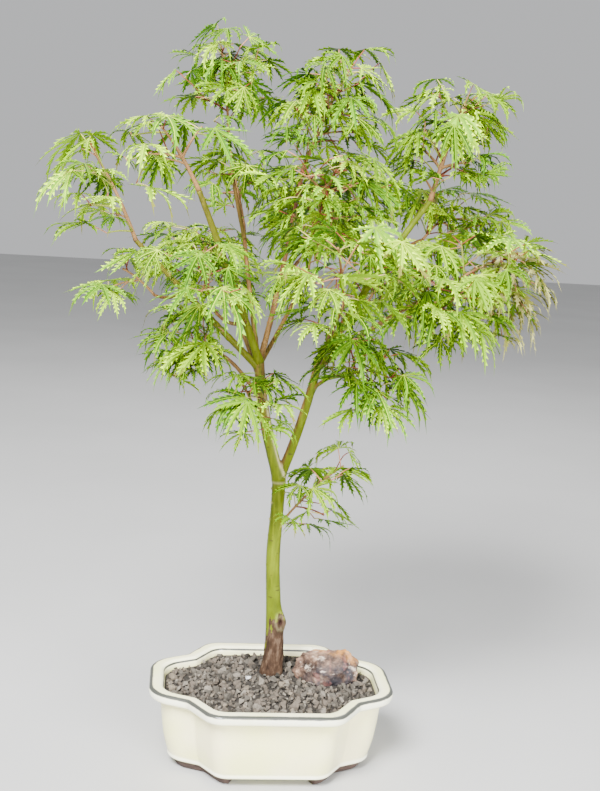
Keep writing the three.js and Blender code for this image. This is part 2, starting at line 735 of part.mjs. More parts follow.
function pottedMaple() {
  const whole = new THREE.Group();
  const outline = rimOutline();

  const pot = new THREE.Group();
  pot.add(node("pot", potShell(outline), "glaze"));
  const sides = { front: -1, back: 1 };
  const hands = { left: -1, right: 1 };
  for (const [side, signY] of Object.entries(sides)) {
    for (const [hand, signX] of Object.entries(hands)) {
      pot.add(node(`foot_${side}_${hand}`, foot(outline, signX, signY), "clay"));
    }
  }
  const bedding = solidOf(stoneShape(GAP)).add(solidOf(trunkShape(GAP)));
  const gravel = tidy(solidOf(gravelBed(outline)).subtract(bedding));
  pot.add(node("gravel", geometryOf(gravel), "gravel"));
  pot.add(node("stone", stoneShape(0), "stone"));
  whole.add(pot);

  const plant = new THREE.Group();
  for (const [name, solid] of limbSolids()) plant.add(node(name, geometryOf(solid), "bark"));
  const widened = [trunkShape(GAP), ...LIMBS.map((l) => limbShape(l, GAP))].map(solidOf);
  const limbs = widened.reduce((all, one) => all.add(one));
  for (const space of spaces) {
    const solid = massSolid(space, limbs);
    plant.add(node(`foliage_${space.name}`, geometryOf(solid), "leaf"));
  }
  whole.add(plant);

  const middle = new THREE.Box3().setFromObject(whole).getCenter(new THREE.Vector3());
  whole.position.set(-middle.x, -middle.y, 0);
  return whole;
}

export default pottedMaple();
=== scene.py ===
"""The looks of a potted lace-leaf maple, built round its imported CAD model.

The plant's own rule is in millimetres about the middle of the pot. Every mesh is in metres in
the frame."""

import math
from itertools import product

import bmesh
import bpy
import numpy as np
from mathutils import Matrix, Vector, noise


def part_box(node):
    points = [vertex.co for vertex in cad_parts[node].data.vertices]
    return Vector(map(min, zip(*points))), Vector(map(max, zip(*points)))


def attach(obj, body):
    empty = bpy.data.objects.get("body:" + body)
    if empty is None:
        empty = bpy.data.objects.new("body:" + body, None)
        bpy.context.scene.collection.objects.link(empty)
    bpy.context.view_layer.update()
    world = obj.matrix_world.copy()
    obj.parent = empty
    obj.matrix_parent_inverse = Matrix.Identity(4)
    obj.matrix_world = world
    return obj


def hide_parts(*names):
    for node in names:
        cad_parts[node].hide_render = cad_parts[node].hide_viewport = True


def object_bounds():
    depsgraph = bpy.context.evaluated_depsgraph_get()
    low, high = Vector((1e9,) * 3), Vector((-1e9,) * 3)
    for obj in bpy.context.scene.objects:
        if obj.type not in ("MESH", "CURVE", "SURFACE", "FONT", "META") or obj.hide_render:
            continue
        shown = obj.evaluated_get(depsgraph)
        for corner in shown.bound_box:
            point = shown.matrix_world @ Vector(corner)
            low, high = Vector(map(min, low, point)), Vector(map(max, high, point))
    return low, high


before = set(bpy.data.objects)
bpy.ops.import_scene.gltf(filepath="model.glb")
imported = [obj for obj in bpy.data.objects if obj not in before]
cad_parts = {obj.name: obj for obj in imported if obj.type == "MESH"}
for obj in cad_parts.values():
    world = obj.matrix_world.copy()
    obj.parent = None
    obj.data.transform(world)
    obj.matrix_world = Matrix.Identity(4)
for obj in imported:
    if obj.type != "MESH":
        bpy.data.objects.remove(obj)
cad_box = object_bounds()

MM = 0.001
UP = np.array([0.0, 0.0, 1.0])

# ---- measures

POT_WIDTH, POT_DEPTH, POT_FOOT = 205, 157, 8
RIM_CORNERS = [((102.5, 34), 26), ((71, 49), 7), ((52, 78.5), 18)]
# The pot's section: inset from the rim, height, and how round the corner there is.
POT_SECTION = [
    (60, 8, 0), (22, 8, 0), (18.2, 8, 1.2), (17, 9.4, 1.2), (17.4, 11.8, 0.8), (16, 16, 6),
    (13, 28, 10), (10.2, 52, 8), (9.3, 59, 2.5), (0.8, 62.3, 2), (0, 65, 1.5), (0, 68.4, 1.4),
    (1.8, 70, 1.4), (10.2, 70, 1.6), (12.6, 67, 2), (16, 32, 4), (23, 16, 4), (60, 15, 0),
]
FOOT_START = (46, 24)
FOOT_GROUND, FOOT_TOP, FOOT_CHAMFER = (25, 37), (21.5, 38), 1
SPACING = 3
GRAVEL_EDGE, GRAVEL_MOUND, GRAVEL_SPREAD = 63.5, 2.5, 45
# Two layers of chips: spacing, least and greatest size, lift, and the share that is kept.
CHIP_LAYERS = (3.8, 1.8, 3.1, -0.7, 1), (7.2, 3.1, 5.1, 0.2, 0.75)
CHIP_SHARES, WHITE_CHIP = (0.14, 0.46, 0.80, 0.94, 0.9995), (-19, 6)
CHIPS_FROM, CHIPS_OVER, TRUNK_CLEAR, STONE_CLEAR = (-98, -74), (200, 150), 10, 0.86
STONE_AT, STONE_HALF, STONE_TURN, STONE_BASE = (50, 14, 71), (27, 19, 21), -0.12, -19

GROUND = 66
TRUNK = [
    ((1.9, 26, 66), 10.3), ((3.1, 26, 75), 9.2), ((3.6, 25.5, 92), 8.1),
    ((2.4, 25, 112), 7.3), ((0.7, 24.5, 130), 6.3), ((-2, 22, 170), 5.9),
    ((-1, 20, 214), 5.5), ((-1, 18, 240), 5.7),
]
KNOT_HEIGHT, KNOT_ANGLE, KNOT_RISE, KNOT_TALL, KNOT_WIDE = 112, -0.25, 3, 8, 0.75
HOLE_HEIGHT, HOLE_ANGLE, HOLE_TOP = 111.5, -0.88, 130
FORK_RING, TRUNK_TOP, LIMBS_TOP = 237, 240, 339
TRUNK_JOINTS = (141, 163, 189, 213, 226)
STUBS = (204, 3.3), (219, 3.5), (228, -0.3), (231, 3.2)

# Each limb: its parent, where it forks, a point half way, its tip, and its radii.
LIMBS = {
    "limb_left": ("trunk", 1, (-16, 17, 292), (-23, 15, 339), 5.2, 4.2),
    "limb_right": ("trunk", 1, (13, 11, 287), (24, 0, 341), 4.2, 3.4),
    "bough_left_top": ("limb_left", 0.99, (-55, -5, 418), (-79, -20, 475), 3.4, 2.1),
    "bough_left": ("limb_left", 0.93, (-78, 5, 386), (-126, -15, 434), 2.9, 1.8),
    "bough_middle": ("limb_left", 1, (-9, 26, 405), (4, 22, 496), 2.6, 1.6),
    "bough_upper_left": ("limb_left", 0.9, (-34, 38, 402), (-40, 46, 448), 2.2, 1.5),
    "bough_top_left": ("bough_upper_left", 0.85, (-50, 44, 482), (-55, 45, 514), 1.6, 1.2),
    "bough_back_left": ("limb_left", 0.8, (-38, 45, 362), (-54, 76, 392), 2, 1.3),
    "bough_back": ("limb_left", 0.97, (0, 55, 372), (20, 84, 411), 2, 1.3),
    "bough_left_mid": ("bough_left", 0.6, (-98, -12, 391), (-110, -22, 393), 1.5, 1.1),
    "bough_front_left": ("bough_left_top", 0.2, (-50, -22, 374), (-64, -46, 386), 1.8, 1.2),
    "bough_centre": ("bough_middle", 0.45, (-3, -12, 418), (6, -38, 434), 1.7, 1.2),
    "bough_low_left": ("limb_left", 0.62, (-42, 13, 334), (-60, 10, 346), 1.8, 1.2),
    "bough_low_front": ("limb_left", 0.38, (-24, 3, 301), (-29, -8, 306), 1.6, 1.1),
    "bough_upper_right": ("limb_right", 1, (72, 32, 414), (114, 40, 477), 3.2, 2.4),
    "bough_right": ("limb_right", 0.96, (70, -4, 376), (116, -10, 405), 2.1, 1.5),
    "bough_back_right": ("limb_right", 0.9, (45, 40, 361), (70, 74, 381), 2, 1.3),
    "bough_front": ("limb_right", 0.99, (30, -36, 376), (32, -72, 398), 2, 1.3),
    "bough_low_right": ("limb_right", 0.8, (34, -8, 332), (44, -20, 334), 1.6, 1.1),
    "bough_right_mid": ("bough_right", 0.62, (88, -18, 386), (96, -34, 385), 1.4, 1.1),
    "bough_right_back": ("bough_upper_right", 0.5, (98, 60, 434), (118, 80, 443), 1.8, 1.3),
}

# How red the bark of some boughs is.
REDNESS = {"bough_upper_right": -0.1, "bough_left_top": 0.2, "bough_left": 0.3, "bough_middle": 0.95}

# Each mass of foliage: the limb that bears it, its main stem's tip, its reach, its seed and how
# many of its finer shoots it keeps, 2 being all of them.
MASSES = {
    "left_tip": ("bough_left", (-166, -24, 512), 78, 340, 0.4),
    "left_mid": ("bough_left_mid", (-146, -34, 422), 84, 309, 0.15),
    "left_top": ("bough_left_top", (-118, -25, 534), 90, 191, 0.15),
    "front_left": ("bough_front_left", (-84, -84, 436), 86, 111, 0.4),
    "upper_left": ("bough_upper_left", (-54, 78, 508), 86, 11, 0.5),
    "top_left": ("bough_top_left", (-68, 32, 604), 88, 195, 0.35),
    "top_middle": ("bough_middle", (42, 12, 590), 90, 78, 1.6),
    "centre": ("bough_centre", (26, -58, 512), 86, 164, 2),
    "upper_right": ("bough_upper_right", (140, 34, 572), 88, 344, 1.4),
    "right_tip": ("bough_right", (192, -24, 448), 88, 188, 2),
    "right_mid": ("bough_right_mid", (114, -66, 426), 84, 150, 1.6),
    "right_back": ("bough_right_back", (160, 104, 480), 84, 197, 1.4),
    "front": ("bough_front", (16, -128, 452), 86, 178, 2),
    "low_right": ("bough_low_right", (64, -58, 350), 74, 112, 1.1),
    "low_left": ("bough_low_left", (-92, -8, 358), 84, 355, 0.8),
    "low_front": ("bough_low_front", (-42, -42, 336), 74, 306, 1.8),
    "back": ("bough_back", (38, 140, 500), 88, 219, 1.4),
    "back_left": ("bough_back_left", (-86, 132, 450), 86, 163, 1),
    "back_right": ("bough_back_right", (120, 140, 434), 86, 360, 1.2),
    "low_sprig": ("trunk", (60, -2, 268), 56, 250, 0.25),
}
SPRIG_NODE = 0.79

# The rule by which every mass grows, as in the part's source.
INTERNODE, STEM_RISE, SIDE_SHOOT, LAST_BUDS = 27, 0.12, 30, 3
PETIOLE, LEAF, OVERLAP, TRIES, MARGIN = 15, 45, 0.8, 14, 0.6
CLEAR_OF_AXIS, SUNK, TWIG_TIP, STEM_TIP = 0.25, 0.8, 0.65, 0.75
LOBES = [(-102, 0.5), (-64, 0.78), (-29, 0.94), (0, 1), (29, 0.94), (64, 0.78), (102, 0.5)]
LOBE_ROOM = [(0.2, 0.06), (0.4, 0.1), (0.6, 0.1), (0.8, 0.07), (1, 0.03)]
LOBE_NOTCH, LOBE_WIDEST, LOBE_HALF, LOBE_HUB, LOBE_FOLD = 0.16, 0.5, 0.09, 0.022, 0.32
BACK_ANGLE, BACK_NOTCH = 135, 0.025
# A tooth's corners, by its step, its sweep and what is added, and its height.
TOOTH_CORNERS = (0.30, 0.2, 0, 0.52), (0.42, 0.45, 0, 0.60), (0.5, 1, 0.02, 1), (0.85, 0.45, 0, 0.56)

# Finer growth that only this script makes.
FINE_PAST = np.array([12, 12, 10])
HANGING = {"right_tip": 22, "front": 20, "centre": 8, "right_mid": 6}
FINE_SHOOT, FINE_OVERLAP, FINE_TRIES, FINE_SLACK, FINE_LEAN = 20, 0.45, 6, 13, 0.45
FINE_SUNK, FINE_THINNEST, FINE_TIP, FINE_LID = 0.3, 0.5, 0.42, UP * 7
STALK_BASE, STALK_TIP = 0.5, 0.36
# What is added to a mass's seed, or a bough's order, to draw its other numbers.
FINE_SEED, LOOK_SEED, BOUGH_SEED = 6100, 9000, 300

# The studio's lights: name, place, size and power.
LIGHTS = (
    ("key", (-0.7, -1.4, 1.8), 0.8, 235),
    ("fill", (0.9, -1.7, 0.75), 1.1, 90),
    ("back", (0.3, 1.5, 1.6), 1.2, 18),
)
LIT_AT, SKY = (0, 0, 0.3), 0.62
LENS, CAMERA_AT = 54.6, np.array([-88.6, -960.6, 484.0])
CAMERA_RIGHT, CAMERA_UP = (0.9940, -0.0923, 0.0588), (-0.0417, 0.1776, 0.9832)

pot_low, pot_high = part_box("pot")
POT_MIDDLE = np.array([(pot_low[0] + pot_high[0]) / 2, (pot_low[1] + pot_high[1]) / 2, 0])
# The finer leaves stay inside the CAD model's box.
LOWEST = (np.array(cad_box[0]) - POT_MIDDLE) / MM + 1.5
HIGHEST = (np.array(cad_box[1]) - POT_MIDDLE) / MM - 1.5


# ---- small helpers

def vec(*xyz):
    return np.array(xyz, float)


def unit(v):
    return v / math.sqrt(v @ v)


def turn(v, axis, angle):
    """v turned about a unit axis."""
    cosine, sine = math.cos(angle), math.sin(angle)
    return v * cosine + np.cross(axis, v) * sine + axis * (axis @ v) * (1 - cosine)


def across_from(along, angle):
    """A way square to another: level, then turned about it."""
    return turn(unit(np.cross(along, UP)), along, angle)


def seeded(seed):
    """A source of the same numbers for the same seed."""
    state = seed * 7919 + 17

    def draw(low=0.0, high=1.0):
        nonlocal state
        state = state * 16807 % 2147483647
        return low + (high - low) * (state / 2147483647)

    return draw


def smooth_step(low, high, x):
    t = np.clip((x - low) / (high - low), 0, 1)
    return t * t * (3 - 2 * t)


def near(values, middle, width):
    """1 at the middle, fading to 0 over about the width."""
    return np.exp(-(((values - middle) / width) ** 2))


def swing(angle, start):
    """An angle as measured from another one, between minus pi and pi."""
    return np.arctan2(np.sin(angle - start), np.cos(angle - start))


def fractal(point, size, octaves):
    return noise.fractal(Vector(point) / size, 0.9, 2.1, octaves)


# ---- curves

class Curve:
    """A curve read by its own parameter, or by its share of length."""

    def __init__(self, point):
        self.point, self.steps = point, np.linspace(0, 1, 201)
        points = np.array([self.point(t) for t in self.steps])
        spans = np.linalg.norm(np.diff(points, axis=0), axis=1)
        self.lengths = np.concatenate([[0], np.cumsum(spans)])

    def at(self, share):
        return self.point(np.interp(share * self.lengths[-1], self.lengths, self.steps))

    def tangent(self, t):
        return unit(self.point(min(1, t + 1e-4)) - self.point(max(0, t - 1e-4)))


def arch(start, pull, end):
    """A curve from start to end, drawn towards pull."""
    return Curve(lambda t: (1 - t) ** 2 * start + 2 * (1 - t) * t * pull + t * t * end)


def spine(points):
    """A centripetal curve through all its points."""
    points = [2 * points[0] - points[1], *points, 2 * points[-1] - points[-2]]
    last = len(points) - 3

    def point(t):
        i = min(int(t * last), last - 1)
        w = t * last - i
        p0, p1, p2, p3 = points[i:i + 4]
        d0, d1, d2 = (math.sqrt(math.dist(a, b)) for a, b in ((p0, p1), (p1, p2), (p2, p3)))
        t0 = d1 * ((p1 - p0) / d0 - (p2 - p0) / (d0 + d1) + (p2 - p1) / d1)
        t1 = d1 * ((p2 - p1) / d1 - (p3 - p1) / (d1 + d2) + (p3 - p2) / d2)
        c2 = -3 * p1 + 3 * p2 - 2 * t0 - t1
        c3 = 2 * p1 - 2 * p2 + t0 + t1
        return p1 + t0 * w + c2 * w * w + c3 * w ** 3

    return Curve(point)


def limb_curves():
    curves = {"trunk": spine([vec(*at) for at, _ in TRUNK])}
    for name, (parent, fork, via, tip, _, _) in LIMBS.items():
        start = curves[parent].point(fork)
        curves[name] = arch(start, vec(*via) * 2 - (start + vec(*tip)) / 2, vec(*tip))
    return curves


CURVES = limb_curves()
TRUNK_HEIGHTS = [at[2] for at, _ in TRUNK]
TRUNK_RADII = [radius for _, radius in TRUNK]


def trunk_radius(height, angle):
    plain = np.interp(height, TRUNK_HEIGHTS, TRUNK_RADII)
    knot = near(height, KNOT_HEIGHT, KNOT_TALL) * near(swing(angle, KNOT_ANGLE), 0, KNOT_WIDE)
    return plain + KNOT_RISE * knot


# ---- growth

def limb_balls():
    """Balls along the trunk and limbs, as rows of centre and radius."""
    trunk = CURVES["trunk"]
    shares = [k / 44 for k in range(45)]
    balls = [(*trunk.point(t), trunk_radius(trunk.at(t)[2], KNOT_ANGLE)) for t in shares]
    for name, (*_, base, tip) in LIMBS.items():
        balls += [(*CURVES[name].point(k / 32), base + (tip - base) * k / 32) for k in range(33)]
    return np.array(balls)


LIMB_BALLS = limb_balls()


def apart(balls, others, overlap=1):
    """Whether no ball meets any of the others, but for the overlap that is let."""
    gaps = np.linalg.norm(balls[:, None, :3] - others[:, :3], axis=2)
    return (gaps > overlap * (balls[:, None, 3] + others[:, 3])).all()


class Leaf:
    """A leaf on its stalk: where it sits, how it lies, and how it droops."""

    def __init__(self, bud, outward, scale, stray, sunk, vary, loose):
        heading = turn(outward, UP, stray * vary(-1, 1))
        heading[2] = heading[2] * 0.4 + vary(0, 0.5)
        heading = unit(heading)
        self.hub = bud + heading * (PETIOLE * scale * vary(0.8, 1.3))
        self.root = bud - heading * sunk
        forward = turn(heading, UP, vary(-0.5, 0.5))
        forward = unit(vec(forward[0], forward[1], 0))
        pitch = vary(-0.1, 0.75)
        self.forward = forward * math.cos(pitch) - UP * math.sin(pitch)
        self.side = across_from(self.forward, vary(-0.4, 0.4))
        self.length = LEAF * scale * vary(0.85, 1.08)
        self.droop = vary(0.15, 0.5)
        if loose:
            pitch, roll = vary(-loose, loose), vary(-loose, loose)
            self.forward = turn(self.forward, self.side, pitch)
            self.side = turn(self.side, self.forward, roll)
        self.normal = np.cross(self.side, self.forward)

    def lobe_axes(self, angle):
        """Which way a lobe points, and which way lies beside it."""
        c, s = math.cos(math.radians(angle)), math.sin(math.radians(angle))
        return self.forward * c + self.side * s, self.side * c - self.forward * s

    def point(self, angle, share, along, across, above=0.0):
        out, beside = self.lobe_axes(angle)
        length = self.length * share
        return (
            self.hub
            + out * (length * along * (1 - 0.2 * self.droop * along))
            + beside * (self.length * across)
            + self.normal * (self.length * above)
            - UP * (length * self.droop * along ** 2)
        )

    def corners(self):
        stalk = unit(self.hub - self.root)
        behind = math.degrees(math.atan2(stalk @ self.side, stalk @ self.forward)) - BACK_ANGLE
        points = [self.point(0, 1, 0, 0, above) for above in (LOBE_HUB, -LOBE_HUB)]
        points.append(self.point(behind, 1, BACK_NOTCH, 0))
        for (before, _), (after, _) in zip(LOBES, LOBES[1:]):
            points.append(self.point((before + after) / 2, 1, LOBE_NOTCH, 0))
        for angle, share in LOBES:
            half = LOBE_HALF * math.sqrt(share)
            for along, across in ((LOBE_WIDEST, -half), (LOBE_WIDEST, half), (1, 0)):
                points.append(self.point(angle, share, along, across))
        return np.array(points)

    def room(self):
        """Balls along its lobes, as rows of centre and radius."""
        return np.array([
            (*self.point(angle, share, along, 0), self.length * room)
            for angle, share in LOBES for along, room in LOBE_ROOM
        ])


class Mass:
    """A mass of foliage: its space about its stem's middle, its twigs and its leaves."""

    def __init__(self, name):
        self.name = name
        self.bearer, tip, self.reach, self.seed, self.fullness = MASSES[name]
        self.start = CURVES[self.bearer].point(SPRIG_NODE if self.bearer == "trunk" else 1)
        self.tip = vec(*tip)
        self.centre = (self.start + self.tip) / 2
        self.twigs, self.leaves, self.vary = [], [], seeded(self.seed)
        self.kept = np.zeros((0, 4))
        self.low, self.high, self.slack, self.loose = -np.inf, np.inf, 0, 0
        self.hanging = HANGING.get(name, 0)

    def depth(self, points):
        """How far points lie inside its ball and, where balls meet, on its own side."""
        away = ((np.atleast_2d(points)[:, None] - CENTRES) ** 2).sum(2)
        power = away - REACHES ** 2
        mine = GROWING.index(self)
        between = np.linalg.norm(CENTRES - self.centre, axis=1)
        between[mine] = 1
        side = (power - power[:, mine:mine + 1]) / (2 * between) + self.slack
        side[:, mine] = self.reach - np.sqrt(away[:, mine])
        return side.min(1)

    def fits(self, point, distance):
        ball = np.array([(*point, distance)])
        return self.depth(point)[0] > distance and apart(ball, LIMB_BALLS)

    def leaf_fits(self, leaf, overlap):
        corners = leaf.corners()
        boxed = (corners > self.low) & (corners < self.high)
        if not boxed.all() or self.depth(corners).min() <= MARGIN:
            return False
        return apart(leaf.room(), self.kept, overlap) and apart(leaf.room(), LIMB_BALLS)

    def add_leaf(self, bud, outward, sunk, scale=1.0, overlap=OVERLAP, tries=TRIES):
        """Adds a leaf where it fits, and holds its room."""
        for n in range(tries):
            size, stray = scale * (1 - 0.02 * n), 0.5 + 0.12 * n
            leaf = Leaf(bud, outward, size, stray, sunk, self.vary, self.loose)
            middle = bud + (leaf.hub - bud) * 0.6
            fits = self.leaf_fits(leaf, overlap)
            if fits and self.fits(middle, 1) and self.fits(leaf.hub, 1.2):
                self.kept = np.vstack([self.kept, leaf.room(), (*middle, 2)])
                self.leaves.append(leaf)
                return

    def add_shoot(self, start, end, base, tip, nodes):
        """Adds the main stem, with many nodes, or a side shoot, with one."""
        vary, main = self.vary, nodes > 1
        middle = (start + end) / 2 + UP * (STEM_RISE * math.dist(start, end))
        curve = arch(start, middle, end)
        self.twigs.append((curve, base, tip, nodes))
        roll = vary(-0.5, 0.5)
        for k in range(1, nodes + 1):
            bud = curve.at(k / nodes)
            along = unit(bud - curve.at((k - 1) / nodes))
            if k == nodes:
                bud = bud - along * LAST_BUDS
            across = across_from(along, roll + k * math.pi / 2 if main else roll)
            for hand in (1, -1):
                outward = unit(across * hand + along * 0.5)
                side_tip = bud + outward * (SIDE_SHOOT * vary(0.8, 1.15))
                if main and k < nodes and self.fits(side_tip, 10) and self.fits(bud, 2):
                    self.add_shoot(bud, side_tip, base * 0.62, TWIG_TIP, 1)
                else:
                    self.add_leaf(bud, outward, -CLEAR_OF_AXIS)
        self.add_leaf(end, curve.tangent(1), SUNK)

    def grow(self):
        """Grows all that the stem bears, then the finer shoots."""
        base = LIMBS[self.bearer][5] * 0.95 if self.bearer in LIMBS else 1.1
        length = math.dist(self.start, self.tip)
        stem_end = self.tip + (self.start - self.tip) * (PETIOLE / length)
        nodes = max(2, math.floor((length - PETIOLE) / INTERNODE + 0.5))
        self.add_shoot(self.start, stem_end, base, STEM_TIP, nodes)
        corners = np.vstack([leaf.corners() for leaf in self.leaves])
        self.slack, self.loose = FINE_SLACK + self.hanging, FINE_LEAN
        self.low = np.maximum(corners.min(0) - FINE_PAST - UP * self.hanging, LOWEST)
        self.high = np.minimum(corners.max(0) + FINE_PAST - FINE_LID, HIGHEST)
        self.vary = vary = seeded(self.seed + FINE_SEED)
        for curve, base, _, nodes in list(self.twigs):
            for k in range(1, 2 * nodes + 1):
                share = (k - vary(0.35, 0.65)) / (2 * nodes)
                bud, along = curve.at(share), curve.tangent(share)
                across = across_from(along, vary(-math.pi, math.pi))
                for n in range(4):
                    outward = unit(turn(across, along, n * math.pi / 2) + along * vary(0.3, 0.9))
                    if self.wanted(n):
                        self.add_fine_shoot(bud, outward, base * 0.5)

    def wanted(self, n):
        """Whether the n-th of the four fine shoots at a place is grown."""
        full = self.fullness
        return n % 2 + n / 4 + self.vary(0, 0.25) < full or n < 2 and self.vary() < full

    def add_fine_shoot(self, bud, outward, base):
        vary = self.vary
        end = bud + outward * (FINE_SHOOT * vary(0.6, 1.5))
        end = end + UP * (vary(-2, 4) - self.hanging * vary(0, 1))
        if not (self.fits(end, 3) and self.fits((bud + end) / 2, 0.5)):
            return
        before = len(self.leaves)
        curve = arch(bud, (bud + end) / 2 + UP * vary(0, 3), end)
        along = unit(end - bud)
        across = across_from(along, vary(-0.6, 0.6))
        for outward in (along, unit(across + along * 0.6), unit(along * 0.6 - across)):
            self.add_leaf(end, outward, FINE_SUNK, vary(0.65, 1), FINE_OVERLAP, FINE_TRIES)
        if len(self.leaves) > before:
            self.twigs.append((curve, max(FINE_THINNEST, base), FINE_TIP, 1))


GROWING = [Mass(name) for name in MASSES]
CENTRES = np.array([mass.centre for mass in GROWING])
REACHES = np.array([mass.reach for mass in GROWING])


# ---- shader tools

def sum_of(operation, swapped=False):
    """A Python operator that adds a node for one sum."""
    def operator(self, other):
        values = (other, self) if swapped else (self, other)
        return self.finish.node("ShaderNodeMath", {"operation": operation}, dict(enumerate(values)))

    return operator


class Wire:
    """A value in a finish's nodes, for sums written as they are said."""

    def __init__(self, finish, socket):
        self.finish, self.socket = finish, socket

    __add__ = __radd__ = sum_of("ADD")
    __mul__ = __rmul__ = sum_of("MULTIPLY")
    __sub__ = sum_of("SUBTRACT")
    __rsub__ = sum_of("SUBTRACT", swapped=True)

    def above(self, low, high):
        """0 below low and 1 over high, with a smooth rise between."""
        settings = {"interpolation_type": "SMOOTHSTEP"}
        sockets = {"Value": self, "From Min": low, "From Max": high}
        return self.finish.node("ShaderNodeMapRange", settings, sockets)


def set_stops(elements, stops):
    """Gives a ramp its places and their colours."""
    while len(elements) < len(stops):
        elements.new(0.5)
    for element, (place, colour) in zip(elements, stops):
        element.position, element.color = place, (*colour, 1)


class Finish:
    """A material made of nodes."""

    def __init__(self, name):
        self.material = bpy.data.materials.new(name)
        self.material.use_nodes = True
        self.tree = self.material.node_tree
        self.tree.nodes.clear()

    def node(self, kind, settings, sockets, out=0):
        """Adds a node, sets it, then feeds its sockets, and gives its socket out."""
        made = self.tree.nodes.new(kind)
        for key, value in settings.items():
            if key == "stops":
                set_stops(made.color_ramp.elements, value)
            else:
                setattr(made, key, value)
        for key, value in sockets.items():
            socket = made.inputs[key]
            if isinstance(value, Wire):
                self.tree.links.new(value.socket, socket)
            else:
                socket.default_value = (*value, 1) if socket.type == "RGBA" else value
        return Wire(self, made.outputs[out]) if made.outputs else None

    def place(self):
        return self.node("ShaderNodeTexCoord", {}, {}, "Object")

    def stretched(self, x, y, z):
        return self.node("ShaderNodeMapping", {}, {"Vector": self.place(), "Scale": (x, y, z)})

    def grain(self, size_mm, detail=4.0, roughness=0.55, place=None):
        """Even noise whose lumps are about size_mm across."""
        sockets = {"Vector": place or self.place(), "Scale": 1000 / size_mm}
        sockets |= {"Detail": detail, "Roughness": roughness}
        return self.node("ShaderNodeTexNoise", {}, sockets)

    def cells(self, size_mm, place=None):
        sockets = {"Vector": place or self.place(), "Scale": 1000 / size_mm}
        return self.node("ShaderNodeTexVoronoi", {}, sockets)

    def marked(self, name):
        """A value kept on the mesh's points."""
        return self.node("ShaderNodeAttribute", {"attribute_name": name}, {}, "Fac")

    def ramp(self, value, *stops):
        return self.node("ShaderNodeValToRGB", {"stops": stops}, {"Fac": value})

    def mix(self, share, first, second):
        colours = {0: share, 6: first, 7: second}
        return self.node("ShaderNodeMix", {"data_type": "RGBA"}, colours, 2)

    def bump(self, height, depth_mm, strength):
        sockets = {"Height": height, "Distance": depth_mm * MM, "Strength": strength}
        return self.node("ShaderNodeBump", {}, sockets)

    def coat(self, **sockets):
        """The whole material, from its surface's sockets by name."""
        named = {}
        for key, value in sockets.items():
            named[key.replace("_", " ").title().replace("Ior", "IOR")] = value
        surface = self.node("ShaderNodeBsdfPrincipled", {}, named)
        self.node("ShaderNodeOutputMaterial", {}, {"Surface": surface})
        return self.material


# ---- finishes

def glaze_finish():
    """Cream glaze, white where it thins over edges and partly painted highlight along the lip and
    over the rim's top, with a grey line at the lip and a painted shadow line by the foot bead.
    """
    f = Finish("cream_glaze")
    body = f.ramp(f.grain(45, 2.0), (0.35, (0.95, 0.94, 0.40)), (0.65, (1.0, 0.93, 0.54)))
    # White where the glaze thins over edges; along the lip and over the whole rim top this white is
    # partly painted highlight.
    thin_glaze_and_highlight = f.marked("edge") * (0.45 + f.grain(14, 3.0) * 0.6)
    colour = f.mix(thin_glaze_and_highlight, body, (0.97, 0.98, 0.82))
    # Grey lines where the glaze breaks at the lip and the inner rim, and a painted shadow line by
    # the foot bead.
    line = (f.marked("line") * (0.55 + f.grain(9, 5.0, 0.6))).above(0.30, 0.68)
    colour = f.mix(line * 0.97, colour, (0.022, 0.025, 0.026))
    spots = (1 - f.cells(17).above(0.02, 0.034)) * f.grain(40, 1.0).above(0.5, 0.56)
    return f.coat(
        base_color=f.mix(spots * 0.8, colour, (0.16, 0.14, 0.08)),
        roughness=0.16 + f.grain(20, 2.0) * 0.08 + line * 0.1,
        coat_weight=0.35,
        coat_roughness=0.06,
        normal=f.bump(f.grain(30, 1.5), 0.35, 0.35),
    )


def clay_finish():
    f = Finish("bare_clay")
    colour = f.ramp(f.grain(12, 6.0), (0.3, (0.034, 0.020, 0.016)), (0.7, (0.078, 0.047, 0.036)))
    pale = f.marked("edge") * f.grain(6, 4.0).above(0.4, 0.7)
    colour = f.mix(pale * 0.35, colour, (0.26, 0.20, 0.155))
    return f.coat(base_color=colour, roughness=0.88, normal=f.bump(f.grain(1.2, 6.0, 0.7), 0.3, 0.6))


def chip_finish(name, dark, light):
    f = Finish(name)
    return f.coat(
        base_color=f.ramp(f.grain(2.5, 3.0), (0.3, dark), (0.7, light)),
        roughness=0.93,
        specular_ior_level=0.2,
        normal=f.bump(f.grain(0.9, 5.0), 0.25, 0.7),
    )


def stone_finish():
    """Weathered brown and grey stone with ochre, pink and chalky streaks."""
    f = Finish("weathered_stone")
    rough = f.grain(16, 8.0, 0.65)
    colour = f.ramp(
        rough,
        (0.36, (0.010, 0.008, 0.008)), (0.46, (0.060, 0.036, 0.026)),
        (0.54, (0.165, 0.100, 0.068)), (0.64, (0.38, 0.26, 0.18)),
    )
    rust = f.marked("ochre") * f.grain(9, 5.0, 0.6).above(0.34, 0.62)
    colour = f.mix(rust * 0.8, colour, (0.58, 0.25, 0.045))
    # Near black towards the stone's lower front.
    slate = f.marked("slate") * f.grain(11, 5.0).above(0.30, 0.60)
    colour = f.mix(slate * 0.9, colour, (0.030, 0.030, 0.037))
    streaks = f.grain(7, 6.0, 0.7, f.stretched(0.6, 1, 1.7)).above(0.53, 0.66)
    chalk = streaks * f.grain(14, 2.0).above(0.44, 0.56)
    colour = f.mix(chalk * 0.8, colour, (0.60, 0.50, 0.41))
    pink = f.grain(12, 3.0, place=f.stretched(1.5, 1, 1)).above(0.56, 0.66)
    relief = rough * 0.7 + f.grain(2.2, 5.0, 0.65) * 0.3
    return f.coat(
        base_color=f.mix(pink * 0.3, colour, (0.28, 0.11, 0.09)),
        roughness=0.6,
        specular_ior_level=0.2,
        normal=f.bump(relief, 1.6, 0.9),
    )


